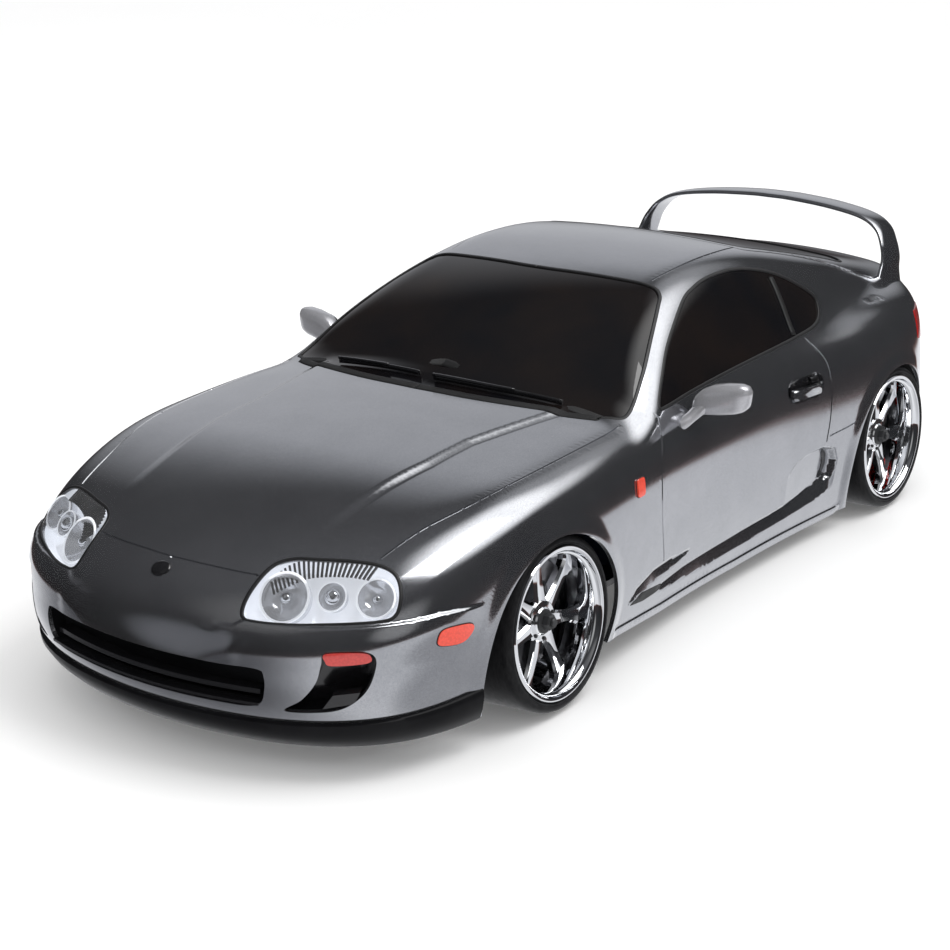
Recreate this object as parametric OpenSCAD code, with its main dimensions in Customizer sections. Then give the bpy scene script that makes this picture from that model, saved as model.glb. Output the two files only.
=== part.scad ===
// Radio controlled drift car, 1/10 scale: a removable coupe shell over a rear wheel drive chassis
// with sprung double wishbones. Units are mm. +X is the car's left, the nose points to -Y, +Z is up.

/* [Wheels and track] */
// height of the wheel centres above the floor
hub_z = 31.4; // [29:0.1:34]
// front axle position along the car
y_front = -120.5; // [-130:0.5:-110]
// distance between the axles
wheelbase = 257; // [250:0.5:265]
// distance of each wheel's middle plane from the car's middle
wheel_x = 79.5; // [76:0.5:84]
// tyre outside radius
tyre_r = 30.8; // [29:0.1:32]
// tyre width
tyre_w = 26; // [24:1:28]
// rim flange radius
rim_r = 26.8; // [25:0.1:28]
// number of wheel spokes
spokes = 7; // [5:1:9]
// inward lean of the front wheels, degrees
camber_front = 4; // [0:0.5:6]
// inward lean of the rear wheels, degrees
camber_rear = 2; // [0:0.5:4]

/* [Suspension] */
// inner pin distance from the car's middle
arm_in = 24; // [22:1:28]
// outer pin distance from the car's middle
arm_out = 60; // [56:1:64]
// height of the lower arm pins
low_z = 16; // [14:0.5:18]
// height of the upper arm pins
up_z = 44; // [40:0.5:46]
// radius of every suspension pin
pin_r = 1; // [0.8:0.1:1.5]
// running clearance on radius
fit = 0.05; // [0.02:0.01:0.1]
// steering axis distance from the car's middle
king_x = 72; // [70:0.5:74]
// steering arm length
steer_arm = 15; // [12:0.5:18]
// wheel axle radius
axle_r = 2.5; // [2:0.1:3]

/* [Drive] */
// gear module
gear_m = 0.8; // [0.6:0.1:1]
// teeth of the axle gear
gear_teeth = 55; // [50:1:60]
// teeth of the motor pinion
pinion_teeth = 29; // [20:1:32]
// motor can radius
motor_r = 17.5; // [16:0.5:18]

/* [Shell] */
// wall thickness of the shell
wall = 1.4; // [1:0.1:2]
// height of the shell's lower edge above the floor
sill_z = 11; // [9:0.5:14]
// nose position on the middle line
nose_y = -228.7; // [-232:0.1:-225]
// tail position on the middle line
tail_y = 228.4; // [224:0.1:232]
// wheel arch radius, front
arch_front = 38; // [36:0.5:40]
// wheel arch radius, rear
arch_rear = 37.5; // [35:0.5:39]
// rings of facets along the shell
rings = 40; // [30:2:60]
// facets from the roof to the sill
steps = 18; // [16:1:32]

/* [Hidden] */
$fn = 48;
y_rear = y_front + wheelbase;
eps = 0.01;
low_len = arm_out - arm_in;
spool_z = hub_z - (wheel_x - arm_out) * tan(camber_rear);
gear_rp = gear_m * gear_teeth / 2;
pin_rp = gear_m * pinion_teeth / 2;
motor_y = y_rear - 27;
motor_z = spool_z + sqrt(pow(gear_rp + pin_rp + 0.1, 2) - 27 * 27);
rack_y = y_front + steer_arm;
horn_y = rack_y + 10;
plate_z = 5;
plate_t = 2.5;
deck_z = plate_z + plate_t;
shock_in = [30, 64];
shock_out = [46, 20];

// Height, width and roof curves of the shell, one value each 30 mm from the nose to the tail.
station0 = -228.5;
station = 30;
bonnet_h = [58.5, 71, 79.5, 84.5, 86.7, 88.5, 89, 89, 89.7, 90.7, 92, 93.2, 94.6, 95, 93, 89.7, 84];
crown_h = [8, 7, 5.2, 3.5, 4.3, 4.4, 4.8, 5, 5, 5, 5, 5, 5, 5.7, 7.6, 7.7, 8];
half_w = [86.4, 88, 90, 93, 94, 92.5, 90, 88.2, 87.6, 88, 90, 92.8, 94.6, 91.6, 80, 66.2, 52.3];
roof_h = [-41, -19, 4, 27.3, 58, 84.7, 103, 115.5, 123.8, 125.8, 123.6, 117, 110, 103.2, 95, 86.3, 76.6];
roof_w = [60, 70, 78, 82.2, 84.2, 84, 82.7, 80.7, 80, 80.7, 80.6, 79, 75.2, 69.4, 61.6, 52.6, 42.3];

// ---------- shell surface ----------

function clampi(i) = min(max(i, 0), 16);

// smooth curve through the station values
function curve(v, y) =
    let (t = min(max((y - station0) / station, 0), 15.9999), i = floor(t), u = t - i)
    (pow(1 - u, 3) * v[clampi(i - 1)] + (3 * u * u * u - 6 * u * u + 4) * v[i]
    + (-3 * u * u * u + 3 * u * u + 3 * u + 1) * v[clampi(i + 1)] + u * u * u * v[clampi(i + 2)]) / 6;

// larger of two values with the corner rounded over r
function soft_max(a, b, r) = let (h = max(r - abs(a - b), 0) / r) max(a, b) + h * h * h * r / 6;

function soft_min(a, b, r) = -soft_max(-a, -b, r);

// lower body: bonnet, wings, doors, bumpers and boot; below zero is inside
function lower_f(x, y, z) = let (
    top = z - (curve(bonnet_h, y) - curve(crown_h, y) * x * x / 6400),
    side = x - curve(half_w, y) + (z > 44 ? 0.0022 * pow(z - 44, 2) : 0.0045 * pow(44 - z, 2)),
    front = nose_y + 0.0034 * x * x
        + (z > 35 ? 0.0119 * pow(z - 35, 2) : 0.02 * pow(35 - z, 2)) - y,
    rear = y - tail_y + 0.00364 * x * x + 0.0025 * pow(z - 60, 2),
    ends = soft_max(soft_max(side, front, 56), rear, 37)
) soft_max(ends, top, 24.3);

// cabin: windscreen, roof, side glass and hatch; below zero is inside
function cabin_f(x, y, z) = let (
    yy = y - 0.00255 * x * x * min(max((31.5 - y) / 80, 0), 1),
    top = (z - curve(roof_h, yy) + 0.00096 * x * x) * 0.93,
    h = soft_max(z - 84, 0, 10),
    side = (x - curve(roof_w, y) + 0.5165 * h + 0.004 * h * h) * 0.9
) max(soft_max(side, top, 14), abs(y - 21.5) - 190);

function shell_f(p) = let (x = sqrt(p[0] * p[0] + 0.01))
    soft_min(lower_f(x, p[1], p[2]), cabin_f(x, p[1], p[2]), 9);

// distance along direction d from point o to the surface lying "off" outside the shell
function reach(o, d, off, lo, hi, n) =
    n == 0 ? let (a = shell_f(o + d * lo) - off, b = shell_f(o + d * hi) - off)
        lo + (hi - lo) * min(max(a / (a - b), 0), 1)
    : let (m = (lo + hi) / 2)
    shell_f(o + d * m) - off < 0 ? reach(o, d, off, m, hi, n - 1) : reach(o, d, off, lo, m, n - 1);

function surf(o, d, off, far) = o + d * reach(o, d, off, 0, far, 12);

spine_z = 28;
spine_a = nose_y + 65;
spine_b = tail_y - 57;
n_mid = rings - 18;

// rows of rays fan out round the nose, run along the spine, then fan round the tail
function row_o(i) = i < 9 ? spine_a : i < 9 + n_mid ? spine_a + (spine_b - spine_a) * (i - 9) / (n_mid - 1)
    : spine_b;
function row_t(i) = i < 9 ? -90 + 10 * i + 0 : i < 9 + n_mid ? 0 : (i - 8 - n_mid) * 10;

function row(i, off) = let (o = [0, row_o(i), spine_z], t = row_t(i), c = cos(t), s = sin(t))
    [for (j = [0:steps]) let (b = 180 * j / steps, d = [c * sin(b), s, c * cos(b)])
        let (far = d[2] < -0.02 ? min(200, (spine_z + 6) / -d[2]) : 200) surf(o, d, off, far)];

// solid inside the shell surface grown by "off"; it runs down past the floor plane of the shell
module shell_solid(off) {
    n = rings - 1;
    ring = 2 * steps;
    rows = [for (i = [1:n - 1]) let (r = row(i, off))
        [for (j = [0:ring - 1]) j <= steps ? r[j] : [-r[ring - j][0], r[ring - j][1], r[ring - j][2]]]];
    m = len(rows);
    nose = surf([0, spine_a, spine_z], [0, -1, 0], off, 200);
    tail = surf([0, spine_b, spine_z], [0, 1, 0], off, 200);
    pts = concat([for (r = rows) for (p = r) p], [nose, tail]);
    walls = [for (i = [0:m - 2]) for (j = [0:ring - 1]) let (
        a = i * ring + j, b = i * ring + (j + 1) % ring, c = b + ring, d = a + ring)
        each [[a, b, c], [a, c, d]]];
    cap_a = [for (j = [0:ring - 1]) [m * ring, (j + 1) % ring, j]];
    cap_b = [for (j = [0:ring - 1]) [m * ring + 1, (m - 1) * ring + j, (m - 1) * ring + (j + 1) % ring]];
    polyhedron(pts, [for (f = concat(walls, cap_a, cap_b)) [f[0], f[2], f[1]]], convexity = 8);
}

// thin panel lying on the shell surface over a four sided outline; off_a is its outer face
module panel(kind, ns, nt, off_a, off_b, grow = 0) {
    function pt(i, j, off) = let (
        s = -1 + 2 * i / ns, t = j / nt, q = outline(kind, s, t, grow), a = axis_of(kind))
        a == 2 ? surf([q[0], q[1], 60], [0, 0, 1], off, 80)
        : a == 0 ? surf([0, q[0], q[1]], [1, 0, 0], off, 130)
        : a == 1 ? surf([q[0], -100, q[1]], [0, -1, 0], off, 140)
        : surf([q[0], 150, q[1]], [0, 1, 0], off, 90);
    w = nt + 1;
    k = (ns + 1) * w;
    pts = concat([for (i = [0:ns]) for (j = [0:nt]) pt(i, j, off_a)],
        [for (i = [0:ns]) for (j = [0:nt]) pt(i, j, off_b)]);
    outer = [for (i = [0:ns - 1]) for (j = [0:nt - 1]) let (a = i * w + j)
        each [[a, a + w, a + w + 1], [a, a + w + 1, a + 1]]];
    inner = [for (f = outer) [f[0] + k, f[2] + k, f[1] + k]];
    rim1 = [for (i = [0:ns - 1]) let (a = i * w) each [[a, a + k, a + w + k], [a, a + w + k, a + w]]];
    rim2 = [for (i = [0:ns - 1]) let (a = i * w + nt) each [[a, a + w + k, a + k], [a, a + w, a + w + k]]];
    rim3 = [for (j = [0:nt - 1]) each [[j, j + 1 + k, j + k], [j, j + 1, j + 1 + k]]];
    rim4 = [for (j = [0:nt - 1]) let (a = ns * w + j) each [[a, a + k, a + 1 + k], [a, a + 1 + k, a + 1]]];
    faces = concat(outer, inner, rim1, rim2, rim3, rim4);
    flip = axis_of(kind) == 3;
    polyhedron(pts, flip ? faces : [for (f = faces) [f[0], f[2], f[1]]], convexity = 6);
}

// which way each outline is cast onto the shell: 0 sideways, 1 forwards, 2 upwards, 3 backwards
function axis_of(kind) = kind < 2 ? 2 : kind < 4 ? 0 : kind == 4 ? 1 : kind == 5 ? 0 : kind == 6 ? 1 : 3;

function mix(a, b, t) = a + (b - a) * t;

// 0 windscreen, 1 rear window, 2 door glass, 3 quarter glass, 4 headlight, 5 side marker,
// 6 indicator, 7 tail light
function outline(kind, s, t, g) =
    kind == 0 ? let (x = s * (mix(76.5, 54, t) + g), u = s * 76.5, v = s * 54)
        [x, mix(-74.5 + 0.0036 * u * u - g, 0.3 + 0.0009 * v * v + g, t)]
    : kind == 1 ? let (x = s * (mix(45, 56, t) + g), v = s * 56)
        [x, mix(76 - g, 160 - 0.003 * v * v + g, t)]
    : kind == 2 ? let (y = mix(-36.5 - g, 68 + g, (s + 1) / 2), lean = mix(-2.5, 2.5, t) * max(s, 0))
        [y + lean, mix(86.4 + 0.022 * (y + 39) - g, top_of(y + lean) + g, t)]
    : kind == 3 ? let (y = mix(71 - g, 98 + g, (s + 1) / 2), lean = mix(-2.5, 2.5, t) * max(-s, 0))
        [y + lean, mix(89.3 + 0.006 * pow(max(y - 70, 0), 2) - g, top_of(y + lean) + g, t)]
    : kind == 4 ? let (x = mix(mix(36.6, 42, t) - g, mix(78.5, 69, t) + g, (s + 1) / 2))
        [x, mix(55.2 - g, 68.7 + g - 0.004 * pow(x - 52, 2), t)]
    : kind == 5 ? [mix(-181.5 - g, -168 + g, (s + 1) / 2), mix(43.2 - g, 48.8 + g, t)]
    : kind == 6 ? [mix(65 - g, 75 + g, (s + 1) / 2), mix(42.8 - g, 46.4 + g, t)]
    : [mix(34 - g, 66 + g, (s + 1) / 2), mix(62 - g, 76 + g, t)];

// upper edge of the side glass
function top_of(y) = y < 37 ? 117.4 - 0.0063 * pow(y - 32.2, 2) : 117.4 - 0.0052 * pow(y - 41.5, 2) - 0.15;

module both() {
    children();
    mirror([1, 0, 0]) children();
}

// wheel arch opening on the left side; it runs out through the sill
module arch_cut(y, r) {
    hull() {
        translate([55, y, 26]) rotate([0, 90, 0]) cylinder(r = r, h = 60, $fn = 40);
        translate([55, y - r + 2, 0]) cube([60, 2 * r - 4, 10]);
    }
}

module slot_cut(points, r, y0, y1) {
    hull() for (p = points) translate([p[0], y0, p[1]]) rotate([-90, 0, 0]) cylinder(r = r, h = y1 - y0, $fn = 20);
}

module body_shell() color("dimgray") difference() {
    shell_solid(0);
    shell_solid(-wall);
    translate([-150, -300, -40]) cube([300, 600, 40 + sill_z]);
    panel(0, 10, 3, 4, -6);
    panel(1, 8, 3, 4, -6);
    both() {
        panel(2, 10, 2, 4, -8);
        panel(3, 4, 2, 4, -8);
        panel(4, 6, 3, 6, -5);
        panel(5, 4, 2, 4, -5);
        panel(7, 6, 3, 4, -5);
        arch_cut(y_front - 2.5, arch_front);
        arch_cut(y_rear - 0.5, arch_rear);
        // lamp duct beside the grille
        slot_cut([[56, 29], [65, 44], [74, 44], [72, 32]], 2, -240, -180);
    }
    // middle air intake and its upper and lower corners
    slot_cut([[-46, 37.5], [46, 37.5], [43, 29], [-43, 29]], 2, -240, -190);
    hull() for (x = [-30, 30]) translate([x, -240, 20]) rotate([-90, 0, 0]) cylinder(r = 1, h = 30, $fn = 12);
    // number plate recess and tail pipe notch under the tail
    slot_cut([[-20, 44], [20, 44], [20, 54], [-20, 54]], 1, 222, 240);
    hull() for (x = [48, 58]) translate([x, 190, 14]) rotate([-90, 0, 0]) cylinder(r = 5, h = 50, $fn = 20);
    hull() for (x = [-58, -48]) translate([x, 190, 14]) rotate([-90, 0, 0]) cylinder(r = 5, h = 50, $fn = 20);
}

module windows() color("black") {
    panel(0, 14, 6, -0.1, -wall, -0.2);
    panel(1, 12, 6, -0.1, -wall, -0.2);
    both() {
        panel(2, 12, 4, -0.1, -wall, -0.2);
        panel(3, 5, 4, -0.1, -wall, -0.2);
    }
}

module headlight_lenses() color("white") both() panel(4, 12, 6, 0, -1.2, -0.2);

module marker_lenses() color("orange") both() {
    panel(5, 4, 2, 0.6, -wall, -0.4);
    panel(6, 5, 2, -3.3, -4.7, 0);
}

module tail_lights() color("firebrick") both() panel(7, 8, 4, 0.3, -wall, -0.2);

// bowl housing behind each headlight lens, with two round reflector hollows
module headlight_buckets() color("silver") both() difference() {
    panel(4, 10, 4, -1.6, -12, -0.8);
    translate([50, -214, 62]) rotate([60, 0, 20]) cylinder(r1 = 3, r2 = 7, h = 12);
    translate([65, -206, 62]) rotate([60, 0, 25]) cylinder(r1 = 3, r2 = 6, h = 12);
}

// strip that follows the bumper between two heights
module skirt_band(z0, z1, off_a, off_b, a0, a1, n) {
    function q(i, z, off) = let (a = a0 + (a1 - a0) * i / n) surf([0, -120, z], [sin(a), -cos(a), 0], off, 160);
    pts = [for (i = [0:n]) each [q(i, z0, off_a), q(i, z1, off_a), q(i, z1, off_b), q(i, z0, off_b)]];
    sides = [for (i = [0:n - 1]) for (k = [0:3]) let (a = 4 * i + k, b = 4 * i + (k + 1) % 4)
        each [[a, b, b + 4], [a, b + 4, a + 4]]];
    polyhedron(pts, concat(sides, [[0, 3, 2], [0, 2, 1]],
        [[4 * n, 4 * n + 1, 4 * n + 2], [4 * n, 4 * n + 2, 4 * n + 3]]), convexity = 4);
}

// black lip round the lower bumper with the grille bars of the intake
module front_lip() color("black") {
    skirt_band(sill_z, 21, 2.5, 0.75, -62, 62, 40);
    for (z = [26.5, 30.5, 34.5]) translate([-44, -217, z]) cube([88, 1.6, 1.2]);
    for (x = [-43, -22, -0.8, 20.4, 41.4]) translate([x, -216.8, 24]) cube([1.6, 1.2, 14]);
}

// door mirrors on short stalks
module mirrors() color("dimgray") both() {
    hull() {
        translate([89, -20, 84.5]) sphere(r = 4, $fn = 16);
        translate([92, -17.5, 88.5]) sphere(r = 4.6, $fn = 16);
        translate([101, -17, 87.5]) sphere(r = 4.6, $fn = 16);
        translate([101.5, -18, 84.5]) sphere(r = 3.6, $fn = 16);
    }
    hull() {
        translate([87.2, -25, 79]) sphere(r = 2, $fn = 12);
        translate([87.5, -30, 78.6]) sphere(r = 2, $fn = 12);
        translate([89, -21, 83]) sphere(r = 2.2, $fn = 12);
    }
}

// one wing section, chord along Y, leaning plate when turned
module wing_rib(p, chord, thick, turn) {
    translate(p) rotate([0, turn, 0]) hull() {
        translate([0, -chord / 2 + thick / 2, 0]) rotate([0, 90, 0]) cylinder(d = thick, h = 0.6, center = true, $fn = 10);
        translate([0, chord / 2 - 0.6, 0.3]) rotate([0, 90, 0]) cylinder(d = 1, h = 0.6, center = true, $fn = 8);
    }
}

wing_path = [[63.3, 187, 92.3, 18, 3.4, 88], [62.6, 188.5, 97, 17.5, 3.2, 84], [60.5, 190, 103, 17, 3, 76],
    [55.5, 193, 109.5, 16, 3, 50], [47, 194.5, 113.3, 16, 3, 20], [30, 196.5, 115.8, 17, 3.2, 8],
    [10, 198, 117, 17.5, 3.2, 2]];

// raised hoop wing on the boot lid
module rear_wing() color("dimgray") {
    for (m = [0, 1]) mirror([m, 0, 0]) for (i = [0:len(wing_path) - 2]) hull() {
        wing_rib([for (k = [0:2]) wing_path[i][k]], wing_path[i][3], wing_path[i][4], wing_path[i][5]);
        wing_rib([for (k = [0:2]) wing_path[i + 1][k]], wing_path[i + 1][3], wing_path[i + 1][4],
            wing_path[i + 1][5]);
    }
    hull() for (x = [-10, 10]) wing_rib([x, 198, 117], 17.5, 3.2, 0);
}

// ---------- chassis ----------

module at_y(y) {
    translate([0, y, 0]) children();
}

// cylinder along Y centred on y = 0
module ycyl(x, z, r, w, y = 0) {
    translate([x, y - w / 2, z]) rotate([-90, 0, 0]) cylinder(r = r, h = w);
}

module chassis_plate() color("black") difference() {
    translate([0, 0, plate_z]) linear_extrude(plate_t) polygon([
        [-18, -176], [18, -176], [24, -150], [24, -96], [48, -80], [50, -20], [50, 60], [44, 86], [24, 100],
        [24, 158], [18, 176], [-18, 176], [-24, 158], [-24, 100], [-44, 86], [-50, 60], [-50, -20],
        [-48, -80], [-24, -96], [-24, -150]]);
    for (y = [-70, -45, 66]) translate([0, y, 0]) cylinder(r = 5, h = 20);
    for (x = [-40, 40]) for (y = [-60, 70]) translate([x, y, 0]) cylinder(r = 2.5, h = 20);
    for (y = [-165, 165]) translate([0, y, 0]) cylinder(r = 4, h = 20);
}

// forked lug pair carrying a pin for an arm that sits between them
module pin_fork(x, z) {
    for (s = [-1, 1]) {
        ycyl(x, z, 3, 2.7, s * 6.65);
        translate([x > 30 ? x : x - 5, s * 6.65 - 1.35, z - 3]) cube([5, 2.7, 6]);
    }
    ycyl(x, z, pin_r, 16);
}

// single lug with a pin standing out of both ends
module pin_lug(x, z) {
    ycyl(x, z, 3, 21);
    translate([x - 5, -10.5, z - 3]) cube([5, 21, 6]);
    ycyl(x, z, pin_r, 36.6);
}

// tower plate on the outer side of an axle; sgn is the side along Y
module tower(sgn) {
    translate([0, sgn * 22 + 1.5, 0]) rotate([90, 0, 0]) linear_extrude(3) difference() {
        polygon([[-13, deck_z], [13, deck_z], [15, 44], [35, 58], [36, 68], [26, 70], [12, 62], [-12, 62],
            [-26, 70], [-36, 68], [-35, 58], [-15, 44]]);
        polygon([[-7, 19], [7, 19], [9, 44], [0, 54], [-9, 44]]);
    }
    both() translate([shock_in[0], 0, shock_in[1]]) rotate([sgn * -90, 0, 0]) translate([0, 0, 11.6])
        cylinder(r = 1.2, h = 10);
}

module front_bulkhead() color("#202020") {
    at_y(y_front) {
        difference() {
            translate([-20, -10.5, deck_z]) cube([40, 21, 39.5]);
            translate([-12, -20, 14]) cube([24, 40, 22]);
        }
        difference() {
            translate([-12, -21, deck_z]) cube([24, 11, 39.5]);
            translate([-9, -22, 14]) cube([18, 13, 22]);
        }
        both() {
            pin_lug(arm_in, low_z);
            pin_fork(arm_in, up_z);
        }
        tower(-1);
    }
    // guide channel for the steering rack
    translate([-9, rack_y - 4.5, 13]) cube([18, 9, 11.6]);
    translate([-9, rack_y - 5.9, 13]) cube([18, 1.3, 13.6]);
}

module gearbox_case() color("#282828") at_y(y_rear) {
    both() difference() {
        translate([8, -10.5, deck_z]) cube([12, 21, 39.5]);
        translate([0, 0, spool_z]) rotate([0, 90, 0]) cylinder(r = 6, h = 40);
        translate([0, -27, motor_z]) rotate([0, 90, 0]) cylinder(r = motor_r + 0.3, h = 40);
    }
    difference() {
        union() {
            translate([-8.5, 0, spool_z]) rotate([0, 90, 0]) cylinder(r = 24.8, h = 17);
            translate([-8.5, -27, motor_z]) rotate([0, 90, 0]) cylinder(r = 14.5, h = 13.5);
        }
        translate([-5.5, 0, spool_z]) rotate([0, 90, 0]) cylinder(r = 23.1, h = 11);
        translate([-5.5, -27, motor_z]) rotate([0, 90, 0]) cylinder(r = 12.9, h = 8);
        translate([-20, 0, spool_z]) rotate([0, 90, 0]) cylinder(r = 6, h = 40);
        translate([-20, -27, motor_z]) rotate([0, 90, 0]) cylinder(r = 3.5, h = 40);
        translate([-20, -40, 0]) cube([40, 80, deck_z]);
    }
    both() {
        pin_lug(arm_in, low_z);
        pin_fork(arm_in, up_z);
    }
    difference() {
        translate([-12, 10, deck_z]) cube([24, 11.5, 39.5]);
        translate([-9, 0, spool_z]) rotate([0, 90, 0]) cylinder(r = 24.8, h = 18);
        translate([-8.5, 0, spool_z]) rotate([0, 90, 0]) cylinder(r = 24.7, h = 17);
    }
    tower(1);
}

module motor() color("#3a3a44") translate([0, motor_y, motor_z]) {
    translate([5.2, 0, 0]) rotate([0, 90, 0]) cylinder(r = 6.5, h = 3.8);
    translate([8.8, 0, 0]) rotate([0, 90, 0]) cylinder(r = motor_r, h = 38.2);
    translate([47, 0, 0]) rotate([0, 90, 0]) cylinder(r = 15.5, h = 3);
    translate([-4.6, 0, 0]) rotate([0, 90, 0]) cylinder(r = 1.6, h = 12);
}

module battery_pack() color("#30343c") {
    translate([-46, -52, deck_z]) cube([44, 118, 24]);
    translate([-50, -30, deck_z]) cube([4, 8, 10]);
    translate([-50, 36, deck_z]) cube([4, 8, 10]);
}

module speed_controller() color("#24242c") {
    translate([8, -10, deck_z]) cube([36, 40, 14]);
    for (i = [0:6]) translate([10 + i * 4.8, -7, deck_z + 14]) cube([2, 34, 8]);
}

module steering_servo() color("#26262a") {
    difference() {
        translate([-10, horn_y - 5.4, deck_z]) cube([20, 40, 19.5]);
        translate([-9, horn_y - 5.5, deck_z + 8]) cube([18, 0.8, 4]);
    }
    translate([-10, horn_y + 34.6, deck_z + 12]) cube([20, 6, 2.5]);
    translate([0, horn_y, 26]) cylinder(r = 4.5, h = 3.2);
    translate([0, horn_y, 29]) cylinder(r = 2, h = 5.5);
}

module bumper_foam() color("#1c1c1c") {
    translate([0, 0, deck_z]) linear_extrude(22) polygon([[-46, -176], [-18, -172], [18, -172], [46, -176],
        [62, -182], [56, -196], [30, -207], [-30, -207], [-56, -196], [-62, -182]]);
    translate([-15, -174, plate_z + plate_t]) cube([30, 10, 3]);
}

// magnet posts that hold the shell from inside
module body_posts() color("#101010") {
    for (x = [-28, 28]) translate([x, 52, deck_z]) {
        translate([x > 0 ? 0 : 0, 22, 0]) cylinder(r = 3, h = 58);
        translate([0, 22, 58]) cylinder(r = 6, h = 3);
    }
    for (x = [-15, 15]) translate([x, -160, deck_z]) {
        cylinder(r = 3, h = 48);
        translate([0, 0, 48]) cylinder(r = 6, h = 3);
    }
}

// ---------- drive ----------

// spur gear along Z with straight sided teeth and free backlash
module spur(n, m, w, bore, phase) {
    rp = n * m / 2;
    pitch = 360 / n;
    difference() {
        linear_extrude(w) polygon([for (i = [0:n - 1]) for (k = [0:3]) let (
            a = phase + i * pitch + [-0.27, -0.12, 0.12, 0.27][k] * pitch,
            r = k == 0 || k == 3 ? rp - 1.05 * m : rp + 0.75 * m) [r * cos(a), r * sin(a)]]);
        if (bore > 0) translate([0, 0, -1]) cylinder(r = bore, h = w + 2);
    }
}

module pinion_gear() color("#b8a060") translate([-2.5, motor_y, motor_z]) rotate([0, 90, 0])
    spur(pinion_teeth, gear_m, 5, 1.65, pinion_phase);

module drive_spool() color("#3c3c40") translate([0, y_rear, spool_z]) {
    translate([-2.5, 0, 0]) rotate([0, 90, 0]) spur(gear_teeth, gear_m, 5, 0, gear_phase);
    both() difference() {
        translate([2, 0, 0]) rotate([0, 90, 0]) cylinder(r = 5.5, h = 25.2);
        translate([18.5, 0, 0]) rotate([0, 90, 0]) cylinder(r = 3.4, h = 10);
    }
}

// angles that put a tooth of one gear into a gap of the other along the line of centres
mesh_a = atan2(27, motor_z - spool_z);
gear_phase = 180 + mesh_a;
pinion_phase = mesh_a + 180 / pinion_teeth;

// dog bone: a shaft with a ball at each end, turned as one profile
module driveshaft() translate([arm_in, 0, spool_z]) rotate([0, 90, 0]) rotate_extrude() polygon(concat(
    [for (i = [0:12]) let (a = 149 * i / 12) [2.2 * sin(a), -2.2 * cos(a)]],
    [for (i = [0:12]) let (a = 149 * (1 - i / 12)) [2.2 * sin(a), low_len + 2.2 * cos(a)]]));

module driveshaft_left() color("silver") at_y(y_rear) driveshaft();
module driveshaft_right() color("silver") at_y(y_rear) mirror([1, 0, 0]) driveshaft();

// ---------- suspension, drawn for the left side about its axle; sgn points to the tower ----------

module lower_arm(sgn) {
    ring_r = pin_r + fit;
    difference() {
        union() {
            translate([0, 0, low_z - 1.8]) linear_extrude(3.6) polygon([[25, -18], [33, -18], [56, -5], [58.5, -5],
                [58.5, 5], [56, 5], [33, 18], [25, 18], [25, 11], [32, 11], [48, 3], [48, -3], [32, -11], [25, -11]]);
            for (s = [-1, 1]) ycyl(arm_in, low_z, 3, 7, s * 14.5);
            ycyl(arm_out, low_z, 3, 10);
            ycyl(shock_out[0], 18.5, 2.6, 6, sgn * 8.8);
        }
        ycyl(arm_in, low_z, ring_r, 60);
        ycyl(arm_out, low_z, ring_r, 60);
    }
    ycyl(shock_out[0], shock_out[1], 1.2, 6, sgn * 13.8);
}

module upper_arm() {
    difference() {
        union() {
            translate([arm_in + 1, -2.5, up_z - 1.6]) cube([low_len - 2, 5, 3.2]);
            ycyl(arm_in, up_z, 3, 10);
            ycyl(arm_out, up_z, 3, 10);
        }
        ycyl(arm_in, up_z, pin_r + fit, 20);
        ycyl(arm_out, up_z, pin_r + fit, 20);
    }
}

// forks that take the outer ends of both arms, joined by an upright
module carrier_back() {
    for (z = [low_z, up_z]) {
        for (s = [-1, 1]) {
            ycyl(arm_out, z, 3, 2.7, s * 6.65);
            translate([arm_out, s * 6.65 - 1.35, z - 3]) cube([4, 2.7, 6]);
        }
        ycyl(arm_out, z, pin_r, 16);
    }
    translate([63.3, -7.4, low_z - 3]) cube([2.2, 14.8, up_z - low_z + 6]);
}

// front carrier: a C that holds the steering pins
module carrier_front() {
    difference() {
        union() {
            carrier_back();
            translate([65, -5, 18.8]) cube([7, 10, 3.4]);
            translate([65, -5, 40.6]) cube([7, 10, 3.4]);
            translate([king_x, 0, 18.8]) cylinder(r = 4.4, h = 3.4);
            translate([king_x, 0, 40.6]) cylinder(r = 4.4, h = 3.4);
        }
        translate([king_x, 0, 10]) cylinder(r = 1.5 + fit, h = 40);
        translate([60, 0, hub_z]) rotate([0, 90, 0]) cylinder(r = 5, h = 7);
    }
}

module carrier_rear() difference() {
    union() {
        carrier_back();
        translate([63.3, -8, 23]) cube([10.7, 16, 16]);
    }
    wheel_axis(camber_rear) translate([0, 0, -30]) cylinder(r = axle_r + fit, h = 40);
}

// children drawn with +Z along the outward wheel axle of the left side
module wheel_axis(camber) {
    translate([wheel_x, 0, hub_z]) rotate([0, 90 - camber, 0]) children();
}

module knuckle() difference() {
    union() {
        translate([69, -5, 22.6]) cube([6.8, 10, 17.6]);
        translate([king_x, 0, 19]) cylinder(r = 1.5, h = 24.8);
        translate([king_x - 2.5, 4, 28]) cube([5, steer_arm - 4, 3]);
        translate([king_x, steer_arm, 28]) cylinder(r = 2.5, h = 3);
        translate([king_x, steer_arm, 30]) cylinder(r = 1, h = 6);
    }
    wheel_axis(camber_front) translate([0, 0, -30]) cylinder(r = axle_r + fit, h = 40);
}

// left tie rod; its inner eye is a slot round the rack's post
module tie_rod() difference() {
    union() {
        translate([king_x, steer_arm, 31.6]) cylinder(r = 2.6, h = 3);
        translate([24, steer_arm, 33.1]) rotate([0, 90, 0]) cylinder(r = 1.4, h = king_x - 26);
        translate([19, steer_arm - 2.4, 31.6]) cube([6, 6.9, 3]);
    }
    translate([king_x, steer_arm, 25]) cylinder(r = 1 + fit, h = 20);
    translate([22 - 1.6, steer_arm - 1.6, 25]) cube([3.2, 4.8, 20]);
}

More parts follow.
